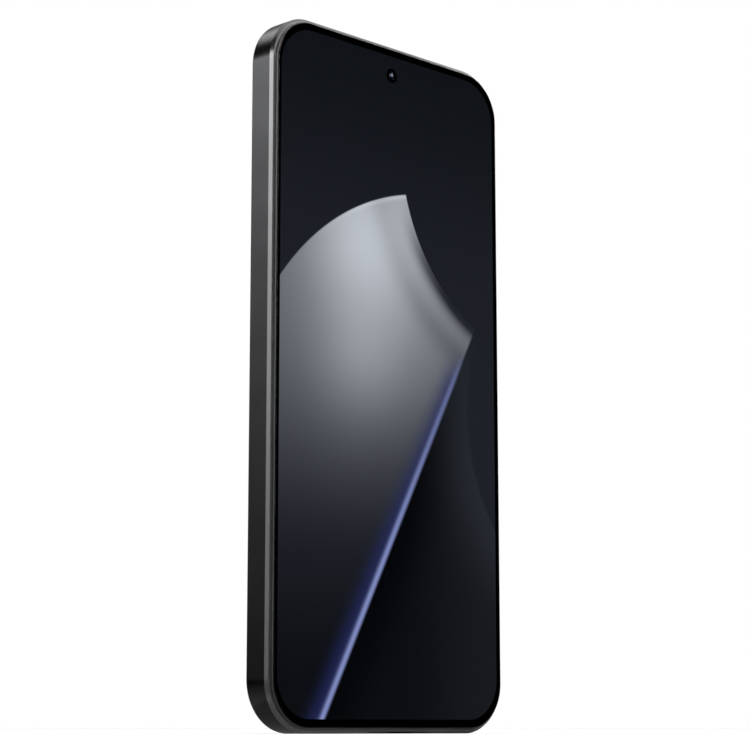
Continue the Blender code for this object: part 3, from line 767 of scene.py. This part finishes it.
def selfie_camera():
    x, z = SELFIE.x, SELFIE.z
    low, high = span("front_camera")
    base = rectangle(low.x, high.x, low.z, high.z, 0.5)
    case = solid(prism(base, -2.2, high.y))
    barrel = disc(x, z, [(1.45, -2.6), (1.45, low.y + 0.08), (1.37, low.y)], 48)
    mouth = disc(x, z, [(1.02, low.y - 0.5), (0.98, low.y + 0.05), (0.30, low.y + 0.7)], 48)
    steps = [("UNION", solid(barrel)), ("DIFFERENCE", solid(mouth))]
    piece("selfie_module", case, [black_plastic], ["front_camera"], steps=steps)

    back_y = SELFIE.y + 0.12
    lens = solid(disc(x, z, dome(0.9, back_y, back_y - 0.06, -0.18), 48))
    g = Graph("lens_coating_painted_glint", 0.0, 0.03, IOR=1.6)
    off = g.distance(x, z, g.x, g.z)
    g.set("Base Color", g.mix(g.smooth(off, 0.0, 0.6), srgb(40, 62, 120), srgb(8, 9, 16)))
    # Painted glint: a white spot and a bluish ring give off light, standing for reflections of lights in the
    # lens.
    spark = g.bell(g.distance(x + 0.16, z + 0.2, g.x, g.z), 0.0, 0.24)
    painted_halo = g.times(g.bell(off, 0.42, 0.16), 0.25)
    painted_glint = g.glow(g.tinted(srgb(205, 220, 255), spark), g.tinted(srgb(60, 95, 165), painted_halo))
    g.set("Emission Color", painted_glint)
    g.set("Emission Strength", 0.45)
    piece("selfie_lens", lens, [g.material], ["front_camera_lens"])


# Grilles, ports and the card tray


def lattice(x, v, depth, axis, half_v, pitch, wire):
    """Crossing wires over a strip from x[0] to x[1], as separate square bars in two layers."""
    parts = []
    count = int((x[1] - x[0]) / pitch)
    near, far = depth
    mid = (near + far) / 2
    for k in range(count + 1):
        at = x[0] + (x[1] - x[0]) * k / count
        parts.append(prism(rectangle(at - wire, at + wire, v - half_v, v + half_v), near, mid, axis))
    rows = max(2, int(2 * half_v / pitch))
    for k in range(rows + 1):
        at = v - half_v + 2 * half_v * k / rows
        parts.append(prism(rectangle(x[0] - wire, x[1] + wire, at - wire, at + wire), mid, far, axis))
    return parts


def grilles():
    weave = metal("woven_steel", (0.16, 0.16, 0.165), 0.42, 12.0, 0.001)
    low, high = span("speaker_mesh")
    y, half = extent("speaker_mesh", 1)
    parts = lattice((low.x, high.x), y, (low.z, high.z), "Z", half, 0.26, 0.045)
    piece("speaker_grille", solid(*parts), [weave], ["speaker_mesh"])
    low, high = span("earpiece_mesh")
    z, half = extent("earpiece_mesh", 2)
    parts = lattice((low.x, high.x), z, (low.y, high.y), "Y", half, 0.16, 0.03)
    dark_weave = metal("earpiece_weave", (0.03, 0.03, 0.031), 0.5, 12.0, 0.001)
    piece("earpiece_grille", solid(*parts), [dark_weave], ["earpiece_mesh"])


def usb_port():
    low, high = span("usb_socket_shell")
    half_x, half_y = high.x, extent("usb_socket_shell", 1)[1]
    lip = 0.06
    wall = 0.22
    steps = [(-wall, high.z - 0.4), (-wall, low.z + lip), (-wall + lip, low.z), (-lip, low.z),
             (0.0, low.z + lip), (0.0, high.z)]
    shell = [(slot(0.0, PORT_Y, half_x, half_y, grow), z) for grow, z in steps]
    piece("usb_shell", solid((shell, "Z", False)), [steel], ["usb_socket_shell"])

    low, high = span("usb_tongue")
    half = 0.35
    base = rectangle(low.x, high.x, low.y, high.y, 0.3)
    blade = [
        (slot(0.0, PORT_Y, 3.2, half - 0.12, steps=3), low.z),
        (slot(0.0, PORT_Y, 3.35, half, steps=3), low.z + 0.2),
        (slot(0.0, PORT_Y, 3.35, half, steps=3), 6.2),
    ]
    steps = [("UNION", solid(prism(base, 6.1, high.z, "Z")))]
    tongue = solid((blade, "Z", False))
    piece("usb_blade", tongue, [black_plastic], ["usb_tongue"], steps=steps)
    gold = metal("contact_gold", (0.86, 0.62, 0.28), 0.25, 5.0, 0.0005)
    pads = []
    for k in range(12):
        x = (k - 5.5) * 0.5
        for face, out in ((PORT_Y - half, -0.02), (PORT_Y + half, 0.02)):
            near, far = sorted((face + out * 0.05, face + out))
            pads.append(prism(rectangle(x - 0.12, x + 0.12, near, far), low.z + 0.5, 6.0, "Z"))
    piece("usb_contacts", solid(*pads), [gold])

    low, high = span("sim_card")
    rows = []
    for column in range(2):
        for row in range(4):
            x = low.x + 2.6 + column * 4.4
            z = low.z + 1.1 + row * 2.1
            rows.append(prism(rectangle(x, x + 2.6, z, z + 1.5, 0.25, 4), low.y - 0.02, low.y - 0.002))
    piece("card_contacts", solid(*rows), [gold], rides="sim_tray")


def card_tray():
    """The tray with its head, neck, plate, card pocket and ejector hole, and its seal."""
    low, high = span("sim_tray")
    face = high.x
    head_half = extent("sim_tray", 1)[1]
    middle_z, head_long = extent("sim_tray", 2)
    carrier = (low.z + 1.0, high.z - 3.0)
    round_edge = 0.09
    steps = [(-round_edge, 0.0), (-round_edge * 0.3, round_edge * 0.3), (0.0, round_edge), (0.0, 1.1)]
    rings = [(slot(PORT_Y, middle_z, head_half, head_long, grow), face - deep) for grow, deep in steps]
    neck = rectangle(PORT_Y - 0.6, PORT_Y + 0.6, carrier[0] - 0.1, carrier[1] + 0.1, 0.55)
    neck = prism(neck, face - 2.35, face - 1.0, "X")
    plate = prism(rectangle(PORT_Y - 0.5, PORT_Y + 0.5, *carrier, 0.1, 3), low.x, face - 2.25, "X")
    pocket = prism(rectangle(19.7, 32.5, carrier[0] + 0.9, carrier[1] - 0.9, 0.4, 4), -0.1, 2.0)
    window = prism(rectangle(21.2, 31.0, carrier[0] + 2.2, carrier[1] - 2.2, 0.6, 4), -2.0, 0.3)
    pin = hole(partial(circle, PORT_Y, high.z - 1.5, 0.45, 24), face, -1, 2.0, "X", 0.08)
    steps = [("UNION", solid(neck)), ("UNION", solid(plate)), ("DIFFERENCE", solid(pocket, pin)),
             ("DIFFERENCE", solid(window))]
    piece("card_tray", solid((rings, "X", False)), [satin], ["sim_tray"], "sim_tray", steps)

    (x, half_x), (y, half_y), (z, half_z) = [extent("sim_tray_seal", axis) for axis in range(3)]
    radius = 0.2
    profile = []
    for k in range(12):
        angle = TAU * k / 12
        grow = -radius + radius * math.cos(angle)
        profile.append((slot(y, z, half_y, half_z, grow), x + half_x * math.sin(angle)))
    rubber = moulded("seal_rubber", (0.05, 0.012, 0.010), 0.7, 5.0, 0.004)
    piece("tray_seal", solid((profile, "X", True)), [rubber], ["sim_tray_seal"], "sim_tray")


def buttons():
    for node, name in KEYS.items():
        low, high = span(node)
        z, half = extent(node, 2)
        back = 36.3
        reach, depth = 0.34, 0.4
        rings = [(slot(0.0, z, KEY_HALF, half), back), (slot(0.0, z, KEY_HALF, half), high.x - depth)]
        for angle in arc(8, 1):
            inset = reach * (1 - math.cos(angle))
            rings.append((slot(0.0, z, KEY_HALF, half, -inset), high.x - depth + depth * math.sin(angle)))
        stems = []
        for stem_z in stems_of(node):
            outline = rectangle(-0.65, 0.65, stem_z - 1.1, stem_z + 1.1)
            stems.append(prism(outline, low.x, back + 0.2, "X"))
        key = solid((rings, "X", False))
        piece(name, key, [satin], [node], node, [("UNION", solid(*stems))])


# The back


def etched_glass():
    """Back glass with a matte etched outside: black under a fine silky sparkle."""
    g = Graph("etched_back", 0.0, 0.42, Specular_IOR_Level=0.55, Sheen_Weight=0.04)
    cloud = g.smooth(g.noise(0.035, 3.0), 0.3, 0.7)
    silk = g.noise(7.0, 3.0, 0.6)
    g.set("Base Color", g.mix(cloud, (0.0125, 0.0128, 0.0138), (0.0175, 0.0178, 0.0190)))
    smudge = g.smooth(g.noise(0.06, 5.0, 0.6), 0.5, 0.75)
    rough = g.add(g.smooth(silk, 0.3, 0.7, 0.39, 0.47), g.times(smudge, -0.045))
    g.set("Roughness", rough)
    g.set("Normal", g.bump(silk, 0.0035))
    return g.material


def back():
    """The rear glass, and the camera plateau with its trims, windows, optics and flash."""
    front_y, back_y = span("back_cover")[0].y, span("back_cover")[1].y
    edge = [(0.05, front_y), (0.0, front_y + 0.05)] + glass_edge(back_y, back_y - 0.22, 0.24, 6)
    rings = [(body(BACK_GLASS + inset), y) for inset, y in edge]
    opening = solid(prism(plateau(0.1), 2.0, 5.0))
    glass = solid((rings, "Y", False))
    steps = [("DIFFERENCE", opening)]
    piece("rear_glass", glass, [etched_glass()], ["back_cover"], steps=steps)

    flange = front_y - 0.1
    section = [(-1.2, 4.75), (-1.2, 2.75), (0.9, 2.75), (0.9, flange), (0.0, flange)]
    round_top = 0.35
    for angle in arc(8):
        grow = -round_top * (1 - math.cos(angle))
        section.append((grow, PLATEAU_TOP - round_top * (1 - math.sin(angle))))
    rings = [(plateau(grow), y) for grow, y in section]
    lenses = [(WIDE.x, WIDE.z), (ULTRAWIDE.x, ULTRAWIDE.z)]
    spot = (FLASH.x, FLASH.z)
    seats = []
    bores = []
    for centre, seat, bore in ((lenses[0], 5.1, 4.3), (lenses[1], 5.1, 4.3), (spot, 2.3, 1.7)):
        seats.append(disc(*centre, [(seat, SEAT), (seat, 7.0)]))
        bores.append(disc(*centre, [(bore, 4.0), (bore, SEAT + 0.3)]))
    deck_metal = metal("deck_metal", (0.060, 0.061, 0.064), 0.30, 8.0, 0.001)
    deck = solid((rings, "Y", False))
    steps = [("DIFFERENCE", solid(*seats)), ("DIFFERENCE", solid(*bores))]
    piece("camera_deck", deck, [deck_metal], ["camera_plateau"], steps=steps)

    top = PLATEAU_HIGH.y
    for name, lens in zip(("wide", "ultrawide"), lenses):
        run = [(5.10, PLATEAU_TOP), (5.10, top - 0.14), (5.22, top), (5.88, top), (6.0, top - 0.12),
               (6.0, PLATEAU_TOP)]
        piece(f"{name}_trim", solid(turned_ring(*lens, run, 96)), [bright_cut])
        lens_stack(name, lens)

    x, z = spot
    low, high = span("flash_lens")
    profile = [(2.2, low.y), (2.2, high.y - 0.12), (2.08, high.y)]
    frosted = Graph("flash_window", 0.0, 0.12, Transmission_Weight=0.9, IOR=1.45)
    ripple = frosted.times(frosted.distance(x, z, frosted.x, frosted.z), TAU / 0.32)
    frosted.set("Base Color", frosted.mix(frosted.noise(2.0), (0.93, 0.93, 0.88), (1.0, 1.0, 0.97)))
    frosted.set("Normal", frosted.bump(frosted.math("SINE", ripple), 0.02))
    window = solid(disc(x, z, profile, 64))
    piece("flash_window", window, [frosted.material], ["flash_lens"])
    phosphor = moulded("flash_phosphor", (0.78, 0.62, 0.10), 0.6, 9.0, 0.004)
    lamps = []
    for lamp_x in (x - 0.75, x + 0.75):
        lamp = rectangle(lamp_x - 0.6, lamp_x + 0.6, z - 0.6, z + 0.6, 0.1, 3)
        lamps.append(prism(lamp, 4.62, 4.78))
    piece("flash_lamps", solid(*lamps), [phosphor])


def lens_stack(name, lens):
    """The window, its black print and the optics under it."""
    x, z = lens
    low, high = span(f"{name}_lens_cover")
    profile = [(4.95, low.y), (5.0, low.y + 0.05), (5.0, high.y - 0.1), (4.93, high.y - 0.03), (4.85, high.y)]
    glass = glossy_glass(f"{name}_window_glass", (0.97, 0.98, 1.0))
    window = solid(disc(x, z, profile, 96))
    piece(f"{name}_window", window, [glass], [f"{name}_lens_cover"])
    aperture = 2.9 if name == "wide" else 2.5
    run = [(aperture, SEAT + 0.03), (4.9, SEAT + 0.03), (4.9, SEAT + 0.07), (aperture, SEAT + 0.07)]
    piece(f"{name}_window_print", solid(turned_ring(x, z, run)), [print_black])

    if name == "wide":
        outside = [(4.2, 0.1), (4.2, 3.0), (3.9, 3.1), (3.9, 4.15), (3.8, 4.25)]
        rides, stands_for, mouth, floor = "focus_barrel", ["wide_camera_barrel"], 3.0, 3.2
    else:
        outside = [(3.5, 2.45), (3.5, 4.3), (3.4, 4.4)]
        rides, stands_for, mouth, floor = "phone", [], 2.6, 3.4
    top = outside[-1][1]
    inside = [(mouth, top)]
    rings = 4
    for k in range(1, rings + 1):
        radius = mouth - (mouth - 1.9) * k / rings
        depth = top - (top - floor) * k / rings
        inside += [(inside[-1][0], depth), (radius, depth)]
    barrel = moulded(f"{name}_barrel_black", (0.010, 0.010, 0.011), 0.38, 8.0, 0.003)
    turned = solid(disc(x, z, outside + inside, 64))
    piece(f"{name}_barrel", turned, [barrel], stands_for, rides)

    element = solid(disc(x, z, dome(1.85, floor + 0.02, floor + 0.1, 0.5), 64))
    g = Graph(f"{name}_coating", 0.0, 0.02, IOR=1.9, Coat_Weight=1.0, Coat_Roughness=0.02, Coat_IOR=1.8)
    radius = g.distance(x, z, g.x, g.z)
    # Painted shade: the element is opaque, and its near-black centre stands for the dark inside of the camera
    # seen through the lens.
    painted_dark_pupil = g.smooth(radius, 0.75, 0.95)
    tint = g.mix(g.smooth(radius, 0.9, 1.8), srgb(28, 40, 74), srgb(44, 26, 62))
    g.set("Base Color", g.mix(painted_dark_pupil, (0.001, 0.001, 0.0015), tint))
    g.set("Normal", g.bump(g.noise(2.0), 0.0003))
    piece(f"{name}_element", element, [g.material], rides=rides)


# Finishes of the CAD nodes that stay


def board_material(name):
    """Solder mask over copper: fine traces, vias, and fields of small parts."""
    g = Graph(name, 0.0, 0.42, Coat_Weight=0.25, Coat_Roughness=0.2)
    bent_x = g.add(g.x, g.times(g.noise(0.25, 0.0), 9.0))
    bent_z = g.add(g.z, g.times(g.noise(0.3, 0.0), 7.0))
    upright = g.times(g.stripes(bent_x, 0.7, 0.35), g.smooth(g.noise(0.18), 0.45, 0.5))
    across = g.times(g.stripes(bent_z, 0.9, 0.35), g.smooth(g.noise(0.16), 0.5, 0.45))
    copper = g.math("MAXIMUM", upright, across)
    via = g.smooth(g.cells(1.1), 0.16, 0.12)
    mask = g.mix(g.noise(0.3, 3.0), (0.006, 0.040, 0.030), (0.010, 0.062, 0.046))
    mask = g.mix(g.times(copper, 0.7), mask, (0.016, 0.105, 0.070))
    g.set("Base Color", g.mix(via, mask, (0.62, 0.46, 0.20)))
    g.set("Metallic", g.times(via, 0.9))
    g.set("Roughness", g.smooth(copper, 0.0, 1.0, 0.46, 0.34))
    g.set("Normal", g.bump(g.add(copper, via), 0.02))
    return g.material


def chip_material(name):
    g = Graph(name, 0.0, 0.45)
    fine = g.noise(10.0, 2.0)
    g.set("Base Color", g.mix(g.noise(0.4, 3.0), (0.013, 0.013, 0.014), (0.024, 0.024, 0.026)))
    g.set("Roughness", g.smooth(fine, 0.3, 0.7, 0.38, 0.5))
    g.set("Normal", g.bump(fine, 0.006))
    return g.material


def foil_material():
    """The battery's black laminated foil, with soft creases."""
    g = Graph("battery_foil", 0.0, 0.4, Coat_Weight=0.2, Coat_Roughness=0.3)
    wrinkle = g.add(g.noise(0.12, 4.0, 0.6), g.times(g.noise(1.6, 2.0), 0.08))
    g.set("Base Color", g.mix(g.noise(0.3), (0.040, 0.040, 0.044), (0.066, 0.066, 0.072)))
    g.set("Metallic", 0.25)
    g.set("Roughness", g.smooth(g.noise(0.7, 4.0), 0.3, 0.7, 0.34, 0.46))
    g.set("Normal", g.bump(wrinkle, 0.25))
    return g.material


def flex_material(name):
    """Amber polyimide over fine copper lines."""
    g = Graph(name, 0.0, 0.32, Coat_Weight=0.3, Coat_Roughness=0.15)
    lines = g.stripes(g.x, 0.42, 0.5)
    g.set("Base Color", g.mix(lines, (0.150, 0.060, 0.014), (0.330, 0.135, 0.030)))
    g.set("Roughness", g.smooth(g.noise(1.2, 3.0), 0.3, 0.7, 0.27, 0.38))
    g.set("Normal", g.bump(lines, 0.008))
    return g.material


def plated(name, colour, pitch=1.4):
    """Stamped sheet with a regular pattern of small perforations, painted near-black inside as shade."""
    g = Graph(name, 1.0, 0.34)
    across, up = [g.less(g.math("FRACT", g.math("DIVIDE", v, pitch)), 0.5) for v in (g.x, g.z)]
    painted_dark_pits = g.smooth(g.distance(0.0, 0.0, across, up), 0.2, 0.15)
    worn = g.noise(0.5, 4.0)
    sheet = g.mix(worn, scaled(colour, 0.9), scaled(colour, 1.08))
    # Painted shade: the perforations are near-black spots in the colour, standing for the dark inside the
    # holes; the bump only dents them.
    g.set("Base Color", g.mix(painted_dark_pits, sheet, scaled(colour, 0.12)))
    g.set("Roughness", g.smooth(worn, 0.3, 0.7, 0.28, 0.42))
    g.set("Normal", g.bump(painted_dark_pits, -0.03))
    return g.material


def card_material(name, colour):
    g = Graph(name, 0.0, 0.38, Coat_Weight=0.15, Coat_Roughness=0.2)
    g.set("Base Color", g.mix(g.noise(0.8, 3.0), scaled(colour, 0.95), scaled(colour, 1.04)))
    g.set("Roughness", g.smooth(g.noise(3.0, 3.0), 0.3, 0.7, 0.33, 0.45))
    g.set("Normal", g.bump(g.noise(9.0), 0.002))
    return g.material


def inner_finishes():
    """Materials for the CAD nodes that keep their own shape."""
    copper = metal("rolled_copper", (0.66, 0.31, 0.18), 0.32, 3.0, 0.002, (6.0, 0.3, 0.3))
    adhesive = moulded("foam_adhesive", (0.012, 0.012, 0.013), 0.8, 12.0, 0.01)
    gasket = moulded("cable_sheath", (0.030, 0.030, 0.032), 0.5, 7.0, 0.003)
    tab = card_material("pull_tab_film", (0.62, 0.64, 0.60))
    sensor = Graph("sensor_glass", 0.0, 0.12, Coat_Weight=0.5, Coat_Roughness=0.05)
    lines = sensor.stripes(sensor.z, 0.35, 0.4)
    sensor.set("Base Color", sensor.mix(lines, (0.010, 0.012, 0.016), (0.018, 0.024, 0.030)))
    sensor.set("Normal", sensor.bump(sensor.noise(4.0), 0.001))
    screw_metal = metal("screw_steel", (0.40, 0.40, 0.41), 0.30, 6.0, 0.002, (1.0, 4.0, 1.0))
    can = plated("can_steel", (0.58, 0.58, 0.57))
    finishes = {
        "display_adhesive": adhesive,
        "back_cover_adhesive": adhesive,
        "display_flex": flex_material("display_ribbon"),
        "board_flex": flex_material("board_ribbon"),
        "battery_lead": flex_material("lead_ribbon"),
        "key_contact_strip": flex_material("contact_ribbon"),
        "fingerprint_sensor": sensor.material,
        "vapor_chamber": copper,
        "nfc_antenna": copper,
        "main_board": board_material("main_board_mask"),
        "sub_board": board_material("sub_board_mask"),
        "processor": chip_material("processor_case"),
        "memory_chip": chip_material("memory_case"),
        "shield_can_front": can,
        "shield_can_back": can,
        "sim_reader": can,
        "motor_case": steel,
        "motor_mass": metal("tungsten", (0.30, 0.29, 0.28), 0.45, 5.0, 0.004),
        "wide_camera": steel,
        "top_microphone": steel,
        "bottom_microphone": steel,
        "ultrawide_camera": black_plastic,
        "upper_bracket": black_plastic,
        "speaker_module": black_plastic,
        "earpiece_speaker": black_plastic,
        "antenna_cable": gasket,
        "battery": foil_material(),
        "battery_pull_tab": tab,
        "flash_module": card_material("flash_ceramic", (0.75, 0.75, 0.72)),
        "sim_card": card_material("card_plastic", (0.80, 0.80, 0.78)),
    }
    finishes.update({node: screw_metal for node in SCREWS})
    for node, finish in finishes.items():
        data = frame["nodes"][node].data
        data.materials.clear()
        data.materials.append(finish)


# Studio


FAR_FLOOR = (0.06, 0.18)  # brightness, in gloss, of the floor's painted light and of the low studio on either diagonal
PAINTED_POOL_LIGHT = 0.46  # and of the painted pool of light on the floor near the phone


def world():
    """White, except in reflections, which show a dim studio with a few tall soft lights."""
    made = bpy.data.worlds.new("studio")
    made.use_nodes = True
    made.node_tree.nodes.clear()
    bpy.context.scene.world = made
    w = Nodes(made.node_tree)
    x, y, z = w.split(w.node("ShaderNodeTexCoord", {}, "Generated"))
    up = w.times(w.math("ARCSINE", z), 180 / math.pi)
    low_up = w.math("MAXIMUM", up, 0.0)
    flat = w.math("MAXIMUM", w.math("SQRT", w.less(1.0, w.times(z, z))), 0.001)

    def towards(azimuth):
        """The cosine between the direction and an azimuth, in plan."""
        a = math.radians(azimuth)
        dot = w.add(w.times(x, math.cos(a)), w.times(y, math.sin(a)))
        return w.math("DIVIDE", dot, flat)

    def gradient(foot, growth, top, ceiling):
        """Light that grows e-fold over some degrees of elevation, up to a top value and a ceiling."""
        value = w.times(w.math("EXPONENT", w.math("DIVIDE", low_up, growth)), foot)
        return w.times(w.math("MINIMUM", value, top), w.smooth(up, ceiling + 4, ceiling - 4))

    def panel(azimuth, inner, outer, light):
        """A light that is whole within some degrees of an azimuth, and gone further off."""
        edge = w.smooth(towards(azimuth), math.cos(math.radians(outer)), math.cos(math.radians(inner)))
        return w.times(edge, light)

    sweep = panel(131.0, 14.0, 38.0, gradient(0.055, 5.3, 3.0, 23.0))
    side = panel(196.0, 16.0, 34.0, gradient(0.17, 8.2, 1.6, 32.0))
    rim_left = panel(281.0, 8.0, 20.0, gradient(0.07, 5.4, 7.0, 40.0))
    rim_right = panel(341.0, 8.0, 20.0, gradient(0.07, 5.4, 7.0, 40.0))
    overhead = w.times(w.smooth(up, 40.0, 48.0), w.smooth(up, 66.0, 56.0, 0.0, 2.2))
    high_back = panel(85.0, 22.0, 45.0, overhead)
    right = panel(0.0, 10.0, 34.0, gradient(0.30, 14.0, 1.2, 50.0))
    diagonal = towards(45.0)
    cross = w.times(w.times(diagonal, diagonal), w.smooth(diagonal, -0.3, 0.3, *FAR_FLOOR))
    roof = w.smooth(up, 55.0, 75.0, 0.0, 0.35)
    light = 0.0
    for lamp in (sweep, side, rim_left, rim_right, high_back, right, cross, roof):
        light = w.add(light, lamp)

    gloss = w.node("ShaderNodeLightPath", {}, "Is Glossy Ray")
    seen = w.node("ShaderNodeBackground", {"Color": (1.0, 1.0, 1.0), "Strength": 1.0})
    studio = w.node("ShaderNodeBackground", {"Color": (1.0, 1.0, 1.0), "Strength": light})
    mixed = w.node("ShaderNodeMixShader", {0: gloss, 1: seen, 2: studio})
    w.feed(w.tree.nodes.new("ShaderNodeOutputWorld").inputs["Surface"], mixed)


def floor():
    """A pale floor. In reflections it shows a painted pool of light round the phone with a painted shadow
    under it, painted light along two sides, and is dim elsewhere.
    """
    half = 4.0  # in metres
    data = bpy.data.meshes.new("floor")
    mesh = bmesh.new()
    bmesh.ops.create_grid(mesh, x_segments=8, y_segments=8, size=half)
    mesh.to_mesh(data)
    mesh.free()
    made = add_object("floor", data)
    g = Graph("pale_floor_painted_reflections", 0.0, 0.9)
    g.set("Base Color", (0.97, 0.97, 0.97))
    away = g.distance(0.0, 0.0, g.x, g.y)
    beyond_x = g.less(g.math("ABSOLUTE", g.x), HALF)
    beyond_y = g.less(g.math("ABSOLUTE", g.y), BACK)
    # Painted shadow: in reflections the floor darkens to 0.03 under the phone's footprint.
    painted_shadow_factor = g.smooth(g.math("MAXIMUM", beyond_x, beyond_y), -1.0, 9.0, 0.03, 1.0)
    # Painted pool of light: in reflections the floor glows round the phone, brightest at it.
    near = g.times(g.times(g.bell(away, 0.0, 54.0), PAINTED_POOL_LIGHT), painted_shadow_factor)
    # Painted light: in reflections the floor glows along two diagonals and towards the left.
    diagonal = g.math("DIVIDE", g.add(g.x, g.y), g.math("MAXIMUM", g.times(away, math.sqrt(2)), 0.01))
    far = g.times(g.times(diagonal, diagonal), g.smooth(diagonal, -0.3, 0.3, *FAR_FLOOR))
    left = g.math("DIVIDE", g.less(0.0, g.x), g.math("MAXIMUM", away, 0.01))
    far = g.math("MAXIMUM", far, g.smooth(left, 0.80, 0.95, 0.0, 0.14))
    gloss = g.node("ShaderNodeEmission", {"Strength": g.math("MAXIMUM", near, far)})
    ray = g.node("ShaderNodeLightPath", {}, "Is Glossy Ray")
    mixed = g.node("ShaderNodeMixShader", {0: ray, 1: g.shader.outputs[0], 2: gloss})
    g.feed(g.tree.nodes["Material Output"].inputs["Surface"], mixed)
    data.materials.append(g.material)


def roof_light():
    data = bpy.data.lights.new("roof_light", "AREA")
    data.shape = "RECTANGLE"
    data.size = 0.9
    data.size_y = 0.9
    data.energy = 5.0
    made = add_object("roof_light", data)
    made.location = (-0.15, -0.1, 1.1)
    made.rotation_euler = (Vector((0.0, 0.0, 0.08)) - made.location).to_track_quat("-Z", "Y").to_euler()
    made.visible_glossy = False


def camera():
    """Stands low at the front left, and looks up a little."""
    data = bpy.data.cameras.new("camera")
    data.sensor_width = 36.0
    data.lens = 99.39
    made = add_object("camera", data)
    bpy.context.scene.camera = made
    made.location = (-0.33547, -0.33260, 0.0013)
    yaw, pitch = math.radians(45.129), math.radians(9.666)
    made.rotation_euler = Euler((math.pi / 2 + pitch, 0.0, -yaw))
    data.clip_start = 0.005
    data.clip_end = 20.0
    bpy.context.scene.view_settings.view_transform = "Standard"


frame_body()
front()
selfie_camera()
grilles()
usb_port()
card_tray()
buttons()
back()
inner_finishes()
world()
floor()
roof_light()
camera()
